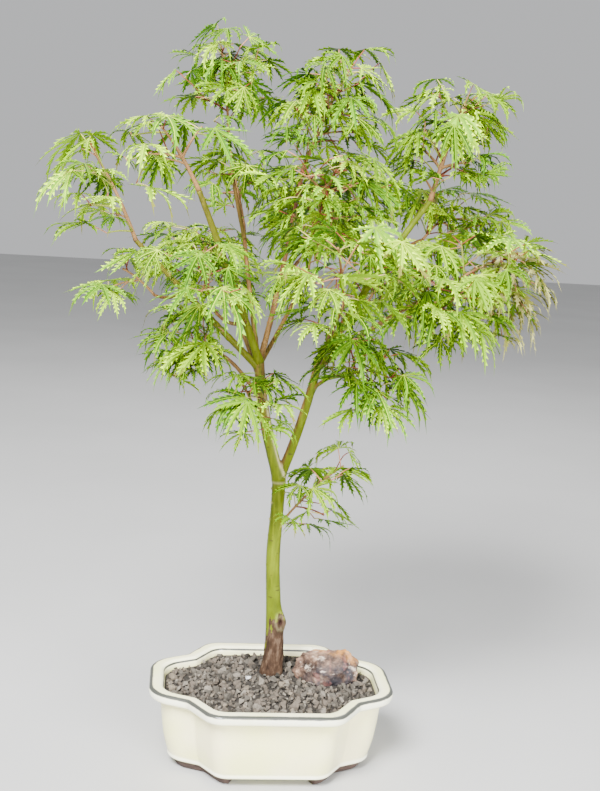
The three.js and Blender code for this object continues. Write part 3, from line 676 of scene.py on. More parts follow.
def bark_finish():
    """Green bark of new growth over the brown foot of the trunk, reddening on the slender boughs,
    with reddish-brown painted shade on the right limb's left side and near-black painted shade in
    the knot's hole.
    """
    f = Finish("maple_bark")
    # Reddish bark on the boughs and high on the left limb, and reddish-brown painted shade on the
    # right limb's left side.
    young = f.marked("young")
    lengthwise = f.grain(3.5, 4.0, place=f.stretched(1, 1, 0.09))
    blotch = f.grain(11, 4.0, place=f.stretched(1, 1, 0.45))
    green = f.ramp(blotch, (0.32, (0.058, 0.078, 0.0005)), (0.62, (0.115, 0.152, 0.0005)))
    green = f.mix(lengthwise.above(0.46, 0.66) * 0.35, green, (0.19, 0.225, 0.002))
    red_and_shade = f.ramp(lengthwise, (0.35, (0.085, 0.032, 0.015)), (0.65, (0.22, 0.105, 0.038)))
    dashes = f.cells(8, f.stretched(0.7, 0.7, 2.0)) + f.grain(1.3, 2.0) * 0.3
    specks = (1 - dashes.above(0.29, 0.38)) * f.grain(24, 1.0).above(0.44, 0.5)
    colour = f.mix(specks * (1 - young) * 0.9, f.mix(young, green, red_and_shade), (0.045, 0.042, 0.014))
    crust = f.ramp(
        f.grain(4.0, 7.0, 0.65, f.stretched(1, 1, 0.4)),
        (0.30, (0.019, 0.010, 0.006)), (0.50, (0.048, 0.027, 0.016)), (0.70, (0.130, 0.084, 0.054)),
    )
    brown = (f.marked("brown") + (f.grain(7, 5.0) - 0.5) * 0.9).above(0.38, 0.66)
    colour = f.mix(brown, colour, crust)
    colour = f.mix(f.marked("pale") * (0.5 + lengthwise * 0.6), colour, (0.50, 0.45, 0.22))
    relief = lengthwise * 0.35 + f.grain(1.1, 5.0, 0.6) * 0.3 * brown
    # The knot's hole is painted near black: painted shade in the hole.
    return f.coat(
        base_color=f.mix(f.marked("hole"), colour, (0.02, 0.008, 0.006)),
        roughness=0.5 + brown * 0.35,
        specular_ior_level=0.12,
        normal=f.bump(relief, 0.5, 0.55),
    )


def plain_finishes(**looks):
    """Finishes of one colour and roughness each, with a fine grain in their gloss."""
    made = []
    for name, (*colour, roughness) in looks.items():
        f = Finish(name)
        sheen = roughness + (f.grain(4, 2.0) - 0.5) * 0.12
        made.append(f.coat(base_color=colour, roughness=sheen, specular_ior_level=0.06))
    return made


GLAZE, CLAY, STONE, BARK = glaze_finish(), clay_finish(), stone_finish(), bark_finish()
CHIPS = [
    chip_finish("chip_dark", (0.026, 0.023, 0.019), (0.050, 0.044, 0.036)),
    chip_finish("chip_grey", (0.058, 0.051, 0.041), (0.102, 0.090, 0.073)),
    chip_finish("chip_taupe", (0.08, 0.065, 0.050), (0.125, 0.103, 0.081)),
    chip_finish("chip_light", (0.120, 0.105, 0.084), (0.195, 0.172, 0.140)),
    chip_finish("chip_warm", (0.125, 0.102, 0.075), (0.19, 0.157, 0.117)),
    chip_finish("chip_white", (0.55, 0.54, 0.53), (0.70, 0.69, 0.68)),
]
# A near-black bed under the chips: painted shade showing in the gaps between them.
GAP_SHADE_BED = chip_finish("gap_shade_bed", (0.018, 0.016, 0.014), (0.045, 0.039, 0.033))
# Leaf finishes from deepest to lightest, dealt out by shade_of partly at random and partly as
# painted light and shade.
LEAF_SHADES = plain_finishes(
    leaf_deep=(0.008, 0.026, 0.001, 0.5), leaf_green=(0.021, 0.058, 0.001, 0.5),
    leaf_mid=(0.066, 0.142, 0.001, 0.49), leaf_fresh=(0.142, 0.262, 0.001, 0.48),
    leaf_light=(0.250, 0.425, 0.002, 0.47), leaf_lemon=(0.470, 0.720, 0.008, 0.47),
)
COOL_SHADES = plain_finishes(
    leaf_cool_mid=(0.042, 0.124, 0.003, 0.49), leaf_cool_fresh=(0.096, 0.228, 0.006, 0.48),
    leaf_cool_light=(0.195, 0.385, 0.014, 0.47),
)
RIB_SHADES = plain_finishes(rib_green=(0.15, 0.29, 0.003, 0.45), rib_pale=(0.36, 0.52, 0.02, 0.45))
DRY_SHADES = plain_finishes(
    leaf_withered=(0.13, 0.135, 0.020, 0.7), leaf_parched=(0.29, 0.28, 0.09, 0.7),
)
STALKS = plain_finishes(
    stalk_red=(0.24, 0.060, 0.035, 0.45), stalk_pink=(0.40, 0.18, 0.10, 0.45),
    stalk_pale=(0.44, 0.38, 0.12, 0.45),
)
TWIGS = plain_finishes(
    twig_red=(0.14, 0.040, 0.020, 0.5), twig_tan=(0.24, 0.13, 0.052, 0.5),
    twig_green=(0.22, 0.25, 0.035, 0.5),
)


# ---- meshes

def linked(name, data):
    """A new object in the scene."""
    made = bpy.data.objects.new(name, data)
    bpy.context.collection.objects.link(made)
    return made


def add_piece(name, points, faces, finishes, kinds=None, marks=None, smooth=True):
    """A mesh piece from points in the plant's millimetres, riding on the one body."""
    mesh = bpy.data.meshes.new(name)
    placed = np.asarray(points, float) * MM + POT_MIDDLE
    mesh.from_pydata(placed.tolist(), [], faces)
    for finish in finishes:
        mesh.materials.append(finish)
    if kinds is not None:
        mesh.polygons.foreach_set("material_index", np.asarray(kinds, np.int32))
    mesh.polygons.foreach_set("use_smooth", np.full(len(mesh.polygons), smooth))
    for mark, values in (marks or {}).items():
        made = mesh.attributes.new(mark, "FLOAT", "POINT")
        made.data.foreach_set("value", np.asarray(values, np.float32))
    mesh.update()
    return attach(linked(name, mesh), "root")


def taken(bm):
    """A working mesh's points and faces, and its end."""
    points = np.array([v.co for v in bm.verts])
    faces = [[v.index for v in face.verts] for face in bm.faces]
    bm.free()
    return points, faces


class Heap:
    """Points and faces gathered into one mesh."""

    def __init__(self):
        self.points, self.faces, self.kinds, self.count = [], [], [], 0

    def add(self, points, faces, kinds):
        self.points.append(points)
        self.faces.extend([i + self.count for i in face] for face in faces)
        self.kinds.extend([kinds] * len(faces) if isinstance(kinds, int) else kinds)
        self.count += len(points)

    def piece(self, name, finishes, **how):
        return add_piece(name, np.vstack(self.points), self.faces, finishes, self.kinds, **how)


def lattice(rings, around):
    """Faces of a closed loft through rings of equally many points."""
    faces = []
    for first in range(0, (rings - 1) * around, around):
        for i in range(around):
            a, b = first + i, first + (i + 1) % around
            faces.append((a, b, b + around, a + around))
    faces.append(tuple(reversed(range(around))))
    faces.append(tuple(range((rings - 1) * around, rings * around)))
    return faces


def tube(curve, radius_at, steps, around):
    """A round tube along a curve, with frames carried on from ring to ring."""
    points, side = [], None
    for k in range(steps + 1):
        tangent = curve.tangent(k / steps)
        if side is None:
            side = np.cross(tangent, UP if abs(tangent[2]) < 0.9 else vec(1, 0, 0))
        side = unit(side - tangent * (tangent @ side))
        over = np.cross(tangent, side)
        middle, radius = curve.point(k / steps), radius_at(k / steps)
        for i in range(around):
            angle = 2 * math.pi * i / around
            out = side * math.cos(angle) + over * math.sin(angle)
            points.append(middle + out * radius)
    return np.array(points), lattice(steps + 1, around)


# ---- pot and feet

def rounded(corners, steps):
    """A closed outline whose corners, given with their radii, are arcs."""
    outline = []
    for i, (at, radius) in enumerate(corners):
        at = vec(*at)
        back = unit(vec(*corners[i - 1][0]) - at)
        on = unit(vec(*corners[(i + 1) % len(corners)][0]) - at)
        half = math.acos(back @ on) / 2
        centre = at + unit(back + on) * (radius / math.sin(half))
        first, last = (at + way * (radius / math.tan(half)) - centre for way in (back, on))
        square = vec(-first[1], first[0])
        sweep = math.atan2(square @ last, first @ last)
        for k in range(steps + 1):
            turned = sweep * k / steps
            outline.append(centre + (first * math.cos(turned) + square * math.sin(turned)))
    return outline


def filled_in(points):
    """A line with points added, so that none are further apart than about SPACING."""
    fine = [points[0]]
    for here, there in zip(points, points[1:]):
        parts = max(1, round(math.dist(here, there) / SPACING))
        fine += [here + (there - here) * k / parts for k in range(1, parts + 1)]
    return np.array(fine)


def rim_outline():
    """The rim from above: straight sides, rounded shoulders and hollow corners."""
    def mirrored(x, y):
        return [((x * cx, y * cy), radius) for (cx, cy), radius in RIM_CORNERS]

    corners = mirrored(1, 1) + mirrored(-1, 1)[::-1] + mirrored(-1, -1) + mirrored(1, -1)[::-1]
    arcs = rounded(corners, 9)
    return filled_in([*arcs, arcs[0]])[:-1]


def drawn_in(outline, inset):
    return outline * (vec(1, 1) - inset * 2 / vec(POT_WIDTH, POT_DEPTH))


def level(ring, height):
    """A ring of points at one height."""
    return np.column_stack([ring, np.full(len(ring), float(height))])


def pot_section():
    """The pot's section with its corners rounded off, as insets and heights."""
    points = []
    for i, (inset, height, radius) in enumerate(POT_SECTION):
        at = vec(inset, height)
        if not radius:
            points.append(at)
            continue
        sides = [vec(*POT_SECTION[j][:2]) - at for j in (i - 1, i + 1)]
        start, end = (at + unit(v) * min(radius, math.hypot(*v) * 0.48) for v in sides)
        for t in (0, 0.2, 0.4, 0.6, 0.8, 1):
            points.append((1 - t) ** 2 * start + 2 * t * (1 - t) * at + t * t * end)
    return filled_in(points)


def make_pot(outline):
    inset, height = pot_section().T
    run = np.concatenate([[0], np.cumsum(np.hypot(np.diff(inset), np.diff(height)))])
    lip = run[np.argmax((height > 69.4) & (inset < 3))]
    inner = run[np.argmax((height > 66) & (inset > 11))]
    bead = run[np.argmax((height > 10) & (inset < 19))]
    # The white edge mark: glaze thinning at the lip, the foot bead and the inner rim, with painted
    # highlight down the lip's face and over the whole rim top.
    white = [near(run, lip - 4, 5), near(run, bead, 2.2), near(run, inner, 4) * 0.7]
    white = np.max([*white, 0.25 * (height > 69.5)], axis=0)
    # The grey line mark: glaze breaks at the lip and the inner rim, and, in its third term, a
    # painted shadow line in the groove by the foot bead.
    grey = [near(run, lip, 2.1), near(run, inner + 1.4, 1.0), near(run, bead - 3, 0.8) * 0.6]
    rings = [level(drawn_in(outline, i), h) for i, h in zip(inset, height)]
    grey = np.max(grey, axis=0)
    marks = {"edge": np.repeat(white, len(outline)), "line": np.repeat(grey, len(outline))}
    faces = lattice(len(rings), len(outline))
    pot = add_piece("glazed_pot", np.vstack(rings), faces, [GLAZE], marks=marks)
    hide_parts("pot")


def make_foot(outline, side, y, hand, x):
    """One of the four feet, which follow the rim's hollow corners."""
    keep = (outline[:, 0] * x > FOOT_START[0]) & (outline[:, 1] * y > FOOT_START[1])
    start = next(i for i in range(len(keep)) if keep[i] and not keep[i - 1])
    corner = np.roll(outline, -start, axis=0)[:keep.sum()]
    rings, edges = [], []
    for k in range(9):
        t = k / 8
        outer = FOOT_GROUND[0] + (FOOT_TOP[0] - FOOT_GROUND[0]) * t ** 0.8
        outer = outer - 0.8 * math.sin(math.pi * t) + (FOOT_CHAMFER if k == 0 else 0)
        inner = FOOT_GROUND[1] + (FOOT_TOP[1] - FOOT_GROUND[1]) * t
        ring = np.vstack([drawn_in(corner, outer), drawn_in(corner, inner)[::-1]])
        rings.append(level(ring, (POT_FOOT + 0.2) * t))
        edges += [near(t, 1, 0.25)] * len(ring)
    faces = lattice(len(rings), len(rings[0]))
    name = f"clay_foot_{side}_{hand}"
    foot = add_piece(name, np.vstack(rings), faces, [CLAY], marks={"edge": edges})
    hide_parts(f"foot_{side}_{hand}")


# ---- gravel and stone

def gravel_height(x, y):
    away = np.hypot(x - TRUNK[0][0][0], y - TRUNK[0][0][1])
    return GRAVEL_EDGE + GRAVEL_MOUND * np.exp(-((away / GRAVEL_SPREAD) ** 2))


def chip_shape(draw):
    """An angular crushed chip: the hull of a few points."""
    bm = bmesh.new()
    for _ in range(11):
        out = unit(vec(draw(-1, 1), draw(-1, 1), draw(-1, 1)))
        bm.verts.new(Vector(out * vec(1, draw(0.6, 0.9), draw(0.5, 0.8)) * draw(0.85, 1.1)))
    hull = bmesh.ops.convex_hull(bm, input=bm.verts)
    spare = {*hull["geom_interior"], *hull["geom_unused"]}
    bmesh.ops.delete(bm, geom=list(spare), context="VERTS")
    bm.verts.index_update()
    return taken(bm)


def inside(outline, x, y):
    """Whether a point lies in a closed outline."""
    a, b = outline, np.roll(outline, -1, axis=0)
    crosses = (a[:, 1] > y) != (b[:, 1] > y)
    with np.errstate(divide="ignore", invalid="ignore"):
        at = a[:, 0] + (y - a[:, 1]) * (b[:, 0] - a[:, 0]) / (b[:, 1] - a[:, 1])
    return (crosses & (x < at)).sum() % 2 == 1


def gravel_bed(outline):
    """Rings of the bed under the chips, coloured near black as painted shade in the gaps between
    them.
    """
    rings = [level(drawn_in(outline, 16), 40)]
    for share in (1, 0.8, 0.6, 0.4, 0.2, 0.05):
        x, y = (drawn_in(outline, 13.4) * share).T
        rings.append(np.column_stack([x, y, gravel_height(x, y) - 1.6]))
    return rings


def room_for_chip(outline, x, y, size):
    """Whether a chip lies inside the pot, and clear of the trunk and the stone."""
    from_trunk = math.hypot(x - TRUNK[0][0][0], y - TRUNK[0][0][1])
    from_stone = math.hypot((x - STONE_AT[0]) / STONE_HALF[0], (y - STONE_AT[1]) / STONE_HALF[1])
    clear = from_trunk >= TRUNK_CLEAR + size and from_stone >= STONE_CLEAR
    return clear and inside(drawn_in(outline, 13.6 + size), x, y)


def make_gravel(outline):
    draw, heap = seeded(21), Heap()
    shapes = [chip_shape(draw) for _ in range(24)]
    bed = gravel_bed(outline)
    heap.add(np.vstack(bed), lattice(len(bed), len(outline)), 0)
    for spacing, low, high, lift, chance in CHIP_LAYERS:
        columns, rows = (int(over / spacing) for over in CHIPS_OVER)
        for row, column in product(range(rows), range(columns)):
            x = CHIPS_FROM[0] + (column + 0.5 * (row % 2)) * spacing + draw(-0.5, 0.5) * spacing
            y = CHIPS_FROM[1] + row * spacing + draw(-0.5, 0.5) * spacing
            size, tilt, spin = draw(low, high), draw(-1, 1), draw(0, 6.28)
            roll, pick, shade, luck = draw(0, 6.28), draw(), draw(), draw()
            if luck > chance or not room_for_chip(outline, x, y, size):
                continue
            points, faces = shapes[int(pick * len(shapes))]
            turned = Matrix.Rotation(spin, 3, "Z") @ Matrix.Rotation(tilt, 3, "X")
            turned = np.array(turned @ Matrix.Rotation(roll, 3, "Y"))
            z = gravel_height(x, y) + lift + draw(-1.2, 1.0)
            kind = 1 + int(np.searchsorted(CHIP_SHARES, shade))
            heap.add(points @ turned.T * size + vec(x, y, z), faces, kind)
    points, faces = shapes[3]
    white = vec(*WHITE_CHIP, gravel_height(*WHITE_CHIP) + 2.4)
    heap.add(points * 3.2 + white, faces, 6)
    gravel = heap.piece("gravel_chips", [GAP_SHADE_BED, *CHIPS], smooth=False)
    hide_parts("gravel")


def make_stone():
    """The stone on the gravel: an angular wedge with a flat, sloping top."""
    draw = seeded(29)
    planes = []
    for _ in range(15):
        out = unit(vec(draw(-1, 1), draw(-1, 1), draw(-0.7, 0.9)))
        planes.append((out, draw(0.66, 0.86)))
    planes += [(unit(vec(-0.22, 0.12, 0.97)), 0.70), (unit(vec(0.15, -0.75, 0.55)), 0.70)]
    bm = bmesh.new()
    bmesh.ops.create_icosphere(bm, subdivisions=6, radius=1)
    ball, faces = taken(bm)
    points, ochre, slate = [], [], []
    for p in ball * 1.04:
        for out, distance in planes:
            p = p - out * max(0, p @ out - distance) * 0.93
        ridges = 1 - abs(noise.noise(Vector(p * 2.1 + vec(3, 1, 7)))) * 2
        crags = 0.05 * ridges + 0.08 * fractal(p + 5, 0.55, 5) + 0.04 * abs(fractal(p, 0.2, 3))
        p = turn(p * (1.0 + crags) * vec(*STONE_HALF), UP, STONE_TURN)
        p = p + 0.6 * fractal(p, 3.2, 5) * unit(p)
        x, y, z = p
        points.append(vec(x, y, max(z, STONE_BASE)) + vec(*STONE_AT))
        ochre.append(smooth_step(2, 12, x * 0.45 + y * 0.6 + (z - 8) * 0.8))
        # Darkening towards the stone's lower front.
        slate.append(smooth_step(-2, 9, -y * 0.7 - z * 0.8 + x * 0.3 + 3))
    stone = add_piece("brown_stone", points, faces, [STONE], marks={"ochre": ochre, "slate": slate})
    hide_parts("stone")


# ---- trunk and limbs

def trunk_tube():
    """The trunk in level rings, with its flare and its knot."""
    rings, around = 150, 40
    points = []
    for k in range(rings + 1):
        centre = CURVES["trunk"].at(k / rings)
        if k == 0:
            centre = centre - UP * 6
        foot = math.exp(-(max(0, centre[2] - GROUND) / 9))
        for i in range(around):
            angle = 2 * math.pi * i / around
            radius = trunk_radius(max(centre[2], GROUND), angle)
            radius *= 1 + 0.05 * foot * math.cos(3 * angle + 1)
            points.append(centre + vec(math.cos(angle), math.sin(angle), 0) * radius)
    return np.array(points), lattice(rings + 1, around)


def one_skin(points, faces, voxel):
    """One closed surface round overlapping solids: its points, normals and faces."""
    mesh = bpy.data.meshes.new("rough")
    mesh.from_pydata(points.tolist(), [], faces)
    rough = linked("rough", mesh)
    modifier = rough.modifiers.new("merge", "REMESH")
    modifier.mode, modifier.voxel_size = "VOXEL", voxel
    graph = bpy.context.evaluated_depsgraph_get()
    merged = bpy.data.meshes.new_from_object(rough.evaluated_get(graph))
    bpy.data.objects.remove(rough)
    bm = bmesh.new()
    bm.from_mesh(merged)
    bpy.data.meshes.remove(merged)
    every_way = {"use_axis_x": True, "use_axis_y": True, "use_axis_z": True}
    bmesh.ops.smooth_vert(bm, verts=bm.verts, factor=0.5, **every_way)
    bm.normal_update()
    normals = np.array([v.normal for v in bm.verts])
    points, faces = taken(bm)
    return points, normals, faces


def limb_radius(name):
    """A limb's radius by share, with a collar where it leaves its parent."""
    *_, base, tip = LIMBS[name]
    length = CURVES[name].lengths[-1]
    return lambda share: base + (tip - base) * share + 0.30 * base * math.exp(-share * length / 5)


def from_trunk_line(points):
    """How far right of the trunk's line points lie, and how far behind it."""
    line = np.array([CURVES["trunk"].at(k / 100) for k in range(101)])
    return [points[:, i] - np.interp(points[:, 2], line[:, 2], line[:, i]) for i in (0, 1)]


def make_trunk():
    """Trunk and its two limbs as one skin, with the bark's relief worked into it."""
    points, faces = trunk_tube()
    for name in ("limb_left", "limb_right"):
        more, more_faces = tube(CURVES[name], limb_radius(name), 60, 28)
        faces += [tuple(i + len(points) for i in face) for face in more_faces]
        points = np.vstack([points, more])
    points, normals, faces = one_skin(points, faces, 0.6)
    x, y = from_trunk_line(points)
    z = points[:, 2]
    angle = np.arctan2(y, x)
    coarse = np.array([fractal(p * vec(1, 1, 0.35), 3.2, 5) for p in points])
    fine = np.array([fractal(p * vec(1, 1, 0.12) + 9, 2.2, 3) for p in points])
    brown = smooth_step(-6, 6, 107 + 16 * np.cos(angle + 0.7) + 16 * coarse - z)
    # The knot's hole and its lip, the ring at the fork, joints, and stubs of old shoots.
    low, hole_turn, up = z < HOLE_TOP, swing(angle, HOLE_ANGLE), z - HOLE_HEIGHT
    hole = near(up, 0, 3.4) * near(hole_turn + 0.1 * fine, 0, 0.24) * low
    lip = near(np.hypot(up / 1.4, hole_turn * 8) + 2 * coarse, 4.2, 1.5) * low
    scar = near(z, FORK_RING, 1.1) * (np.hypot(x, y) < 9)
    joints = sum(near(z, height, 0.8) for height in TRUNK_JOINTS) * (z < 232)
    stubs = sum(near(z, h, 1.0) * near(swing(angle, side), 0, 0.22) for h, side in STUBS)
    stubs = stubs * (z < 236)
    shift = brown * (coarse * 0.55 - 0.25) + (1 - brown) * fine * 0.16
    shift += 0.15 * joints - 2.6 * hole + 0.7 * lip + 0.4 * scar + 1.1 * stubs
    points = points + normals * shift[:, None]
    # A pale stripe up the left limb, reddish bark near the top of the left limb, and reddish-brown
    # painted shade down the right limb's left side.
    along = np.clip((z - TRUNK_TOP) / (LIMBS_TOP - TRUNK_TOP), 0, 1)
    left = np.array([CURVES["limb_left"].point(t) for t in along])
    right = np.array([CURVES["limb_right"].point(t) for t in along])
    x, y = (points - left)[:, :2].T
    on_left = (z > 242) & (np.hypot(x, y) < 8)
    stripe = near(np.arctan2(y, x) + 0.75, 0, 0.20) * on_left * (1 - smooth_step(296, 318, z))
    on_right = (z > 250) & (points[:, 0] > 0.5 * (left[:, 0] + right[:, 0]))
    # Painted shade: the right limb's left side is painted reddish brown.
    red_and_shade = smooth_step(0.5, 3, right[:, 0] - points[:, 0]) * on_right * 0.8
    red_and_shade += smooth_step(278, 312, z) * ~on_right * smooth_step(-1.5, 3, np.abs(x)) * 0.7
    marks = {
        "brown": brown,
        "young": np.clip(red_and_shade, 0, 1),
        "pale": np.clip(scar * 0.45 + stripe + lip * 0.15 + stubs, 0, 1),
        # The knot's hole, to be painted near black as painted shade.
        "hole": np.clip(hole * 1.5 - 0.25, 0, 1),
    }
    skin = add_piece("trunk_bark", points, faces, [BARK], marks=marks)
    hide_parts("trunk", "limb_left", "limb_right")


def make_boughs():
    heap, young = Heap(), []
    names = [name for name in LIMBS if name.startswith("bough")]
    for order, name in enumerate(names):
        curve, plain, draw = CURVES[name], limb_radius(name), seeded(BOUGH_SEED + order)
        length = curve.lengths[-1]
        joints = [draw(0.85, 1.15) * 19 * k for k in range(1, int(length / 19) + 1)]

        def radius_at(share):
            knuckle = sum(near(share * length, joint, 1.2) for joint in joints)
            return plain(share) * (1 + 0.13 * knuckle)

        steps = int(length / 1.3)
        points, faces = tube(curve, radius_at, steps, 12)
        rough = np.array([fractal(p * vec(1, 1, 0.5), 3, 3) for p in points])
        share = np.repeat(np.linspace(0, 1, steps + 1), 12)
        middle = np.array([curve.point(t) for t in share])
        heap.add(middle + (points - middle) * (1 + 0.07 * rough[:, None]), faces, 0)
        young.append(np.clip(REDNESS.get(name, 0.8) + (share - 0.5) * 0.3, 0, 1))
    young = np.concatenate(young)
    marks = {"young": young, "brown": 0 * young, "pale": 0 * young, "hole": 0 * young}
    boughs = heap.piece("bough_bark", [BARK], marks=marks)
    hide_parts(*names)


# ---- leaves, stalks and twigs

# The parts of a lobe: its nearer half, its further half, the tips of its teeth and its rib.
NEAR, FAR, TOOTH, RIB = range(4)


def lobe_pattern(share, draw):
    """One finely cut lobe, flat: its points as shares, its faces and their parts."""
    pairs = max(3, round(1 + 4 * share))
    places = [0.11 + 0.66 * k / (2 * pairs) for k in range(2 * pairs + 2)]
    flat, faces, parts = [], [], []

    def spot(along, across, above):
        flat.append((along, across, above))
        return len(flat) - 1

    def reach(a):
        x = np.clip((a - 0.03) / 0.95, 0, 1) ** 0.85
        return 0.112 * math.sqrt(share) * 4 * x * (1 - x)

    midrib = [spot(a, 0, 0) for a in (0, *places, 1)]
    for hand, first, half in ((1, 0, NEAR), (-1, 1, FAR)):
        def corner(along, across):
            return spot(along, hand * across, LOBE_FOLD * across)

        def facet(*corners, part=half):
            faces.append(corners if hand < 0 else corners[::-1])
            parts.append(part)

        valley = corner(places[first] - 0.02, 0.016 + 0.2 * reach(places[first]))
        facet(midrib[0], valley, *midrib[first + 1:0:-1])
        for j in range(first, 2 * pairs, 2):
            a, step = places[j], places[j + 2] - places[j]
            height = reach(a + 0.75 * step) * draw(0.85, 1.12)
            sweep = height * draw(0.9, 1.3)
            cut = corner(a + step, max(0.012, 0.30 * reach(a + step)))
            low, dip, tip, inner = (
                corner(a + on * step + out * sweep + past, up * height)
                for on, out, past, up in TOOTH_CORNERS
            )
            facet(midrib[j + 1], valley, cut, midrib[j + 3], midrib[j + 2])
            facet(cut, valley, low)
            facet(cut, low, dip)
            facet(cut, dip, inner, part=TOOTH)
            facet(inner, dip, tip, part=TOOTH)
            valley = cut
        facet(midrib[j + 3], valley, *midrib[:j + 3:-1])
    edges = []
    for hand in (-1, 1):
        edges.append([spot(a, hand * 0.0115 * (1 - 0.75 * a), 0.010) for a in (0, *places[::2])])
    left, right = edges
    for i in range(len(left) - 1):
        faces.append((left[i], left[i + 1], right[i + 1], right[i]))
        parts.append(RIB)
    return np.array(flat), faces, parts


def lobe_patterns(draw):
    return {share: [lobe_pattern(share, draw) for _ in range(4)] for _, share in LOBES}


PATTERNS = lobe_patterns(seeded(77))
FINISHES = [*LEAF_SHADES, *COOL_SHADES, *RIB_SHADES, *DRY_SHADES]
RIBS = len(LEAF_SHADES) + len(COOL_SHADES)
DRY = RIBS + len(RIB_SHADES)


def cooler(shade):
    """The blue-green finish as light as a shade, where there is one."""
    return len(LEAF_SHADES) + shade - 2 if 2 <= shade <= 4 else shade


def draw_leaf(heap, leaf, draw, shade, rib, drooping, withered, cool):
    """Adds one leaf: seven cut lobes that arch over and hang from its hub."""
    for angle, share in LOBES:
        flat, faces, parts = PATTERNS[share][int(draw(0, 4))]
        along, across, above = flat.T
        out, beside = leaf.lobe_axes(angle + draw(-5, 5))
        length = leaf.length * share * draw(0.92, 1.06)
        droop = leaf.droop * 0.6 + drooping * draw(-0.6, 1)
        sway, twist = draw(-0.16, 0.16), draw(-0.8, 0.8)
        curl = np.maximum(0, along - 0.5) ** 2 * draw(-0.3, 1.9)
        sideways = across * np.cos(twist * along) + sway * along ** 2
        raised = above + across * np.sin(twist * along)
        points = (
            leaf.hub
            + np.outer(length * along * (1 - 0.28 * droop * along) - length * curl * 0.5, out)
            + np.outer(leaf.length * sideways, beside)
            + np.outer(leaf.length * raised, leaf.normal)
            - np.outer(length * (droop * along ** 2 + curl * 0.7), UP)
        )
        gone = 1 - withered * draw(0.5, 1.4)
        # Painted shade and highlight: one half of each lobe is painted one shade deeper, as the
        # shade of its fold, and the tips of its teeth one shade lighter, as a painted highlight.
        fold_shade = max(shade - 1, 0)
        halves = (shade, fold_shade) if draw() < 0.5 else (fold_shade, shade)
        tooth_highlight = min(shade + (1 if draw() < 0.75 else 0), len(LEAF_SHADES) - 1)
        kind_of = [cooler(kind) if cool else kind for kind in (*halves, tooth_highlight)]
        kind_of.append(RIBS + rib)
        kinds = []
        for face, part in zip(faces, parts):
            place = along[list(face)].mean()
            dry = withered and place > gone
            kinds.append(DRY + (place > gone + 0.3) if dry else kind_of[part])
        heap.add(points, faces, kinds)


def tapering(base, tip):
    return lambda share: base + (tip - base) * share


def draw_twig(heap, curve, base, tip, nodes, kind):
    """Adds a twig, a little thicker at each of its nodes."""
    def radius_at(share):
        from_node = share * nodes % 1
        knuckles = near(from_node, 0, 0.06) + near(from_node, 1, 0.06)
        return tapering(base, tip)(share) * (1 + 0.18 * knuckles)

    heap.add(*tube(curve, radius_at, 2 * max(3, int(curve.lengths[-1] / 5)), 7), kind)


def shade_of(leaf, draw, mass):
    """A leaf's shade, partly its own tone drawn at random and partly painted light and shade:
    lighter towards the top and the outside of the crown, and on the low sprig.
    """
    outward = math.hypot(leaf.hub[0] / 200, (leaf.hub[1] + 10) / 150)
    lit = 0.47 + 0.12 * (leaf.hub[2] - 330) / 250 + 0.30 * outward + draw(-0.32, 0.32)
    # Painted light: the low sprig's leaves are painted lighter, as if in full light.
    if mass == "low_sprig":
        lit += 0.25
    return int(np.clip(round(lit * 3.4 + 0.6), 0, len(LEAF_SHADES) - 1))


def withering_of(leaf, draw, mass):
    """How far a leaf has dried back from its tips: most at the crown's far right."""
    if mass == "right_tip" and leaf.hub[0] > 158 and leaf.hub[2] < 442:
        return draw(0.5, 1.0)
    if mass == "right_tip" and leaf.hub[0] > 165:
        return draw(0.15, 0.4)
    return draw(0.1, 0.25) if draw() < 0.22 else 0


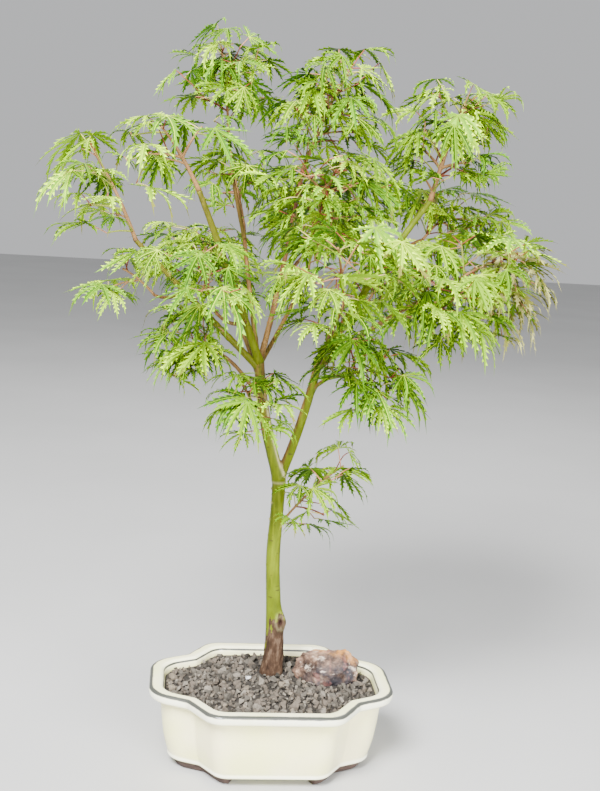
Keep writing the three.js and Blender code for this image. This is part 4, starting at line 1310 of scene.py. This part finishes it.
def make_foliage():
    twigs, stalks = Heap(), Heap()
    for mass in GROWING:
        mass.grow()
        draw, leaves = seeded(mass.seed + LOOK_SEED), Heap()
        for leaf in mass.leaves:
            shade, withered = shade_of(leaf, draw, mass.name), withering_of(leaf, draw, mass.name)
            rib = 1 if draw() < 0.4 else 0
            draw_leaf(leaves, leaf, draw, shade, rib, draw(0.05, 0.3), withered, draw() < 0.28)
            kind, sag = int(draw(0, 3)), UP * draw(0.3, 1.6)
            stalk = arch(leaf.root, (leaf.root + leaf.hub) / 2 + sag, leaf.hub)
            stalks.add(*tube(stalk, tapering(STALK_BASE, STALK_TIP), 4, 5), kind)
        for curve, base, tip, nodes in mass.twigs:
            kind = 1 if base > 1.2 else int(draw(0, 3))
            draw_twig(twigs, curve, base, tip, nodes, kind)
        piece = leaves.piece(f"leaves_{mass.name}", FINISHES, smooth=False)
        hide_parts(f"foliage_{mass.name}")
    twigs.piece("fine_twigs", TWIGS)
    stalks.piece("leaf_stalks", STALKS)


# ---- stage

def make_stage():
    f = Finish("pale_floor")
    colour = f.ramp(f.grain(300, 2.0), (0.3, (0.42, 0.42, 0.415)), (0.7, (0.45, 0.45, 0.445)))
    mesh = bpy.data.meshes.new("floor")
    corners = [(-6, -6, 0), (6, -6, 0), (6, 6, 0), (-6, 6, 0)]
    mesh.from_pydata(corners, [], [(0, 1, 2, 3)])
    mesh.materials.append(f.coat(base_color=colour, roughness=0.7))
    linked("floor", mesh)
    world = bpy.data.worlds.new("studio")
    bpy.context.scene.world = world
    world.use_nodes = True
    background = world.node_tree.nodes["Background"]
    background.inputs["Color"].default_value = (0.97, 0.98, 1.0, 1)
    background.inputs["Strength"].default_value = SKY
    for name, at, size, power in LIGHTS:
        data = bpy.data.lights.new(name, "AREA")
        data.size, data.energy = size, power
        light = linked(name, data)
        light.location = at
        light.rotation_mode = "QUATERNION"
        light.rotation_quaternion = (Vector(LIT_AT) - light.location).to_track_quat("-Z", "Y")


def make_camera():
    data = bpy.data.cameras.new("camera")
    data.sensor_width, data.lens = 36, LENS
    camera = linked("camera", data)
    back = np.cross(CAMERA_RIGHT, CAMERA_UP)
    turned = Matrix((CAMERA_RIGHT, CAMERA_UP, back)).transposed()
    place = Vector(CAMERA_AT * MM + POT_MIDDLE)
    camera.matrix_world = Matrix.Translation(place) @ turned.to_4x4()
    bpy.context.scene.camera = camera


make_camera()
make_stage()
rim = rim_outline()
make_pot(rim)
for side, y in (("front", -1), ("back", 1)):
    for hand, x in (("left", -1), ("right", 1)):
        make_foot(rim, side, y, hand, x)
make_gravel(rim)
make_stone()
make_trunk()
make_boughs()
make_foliage()
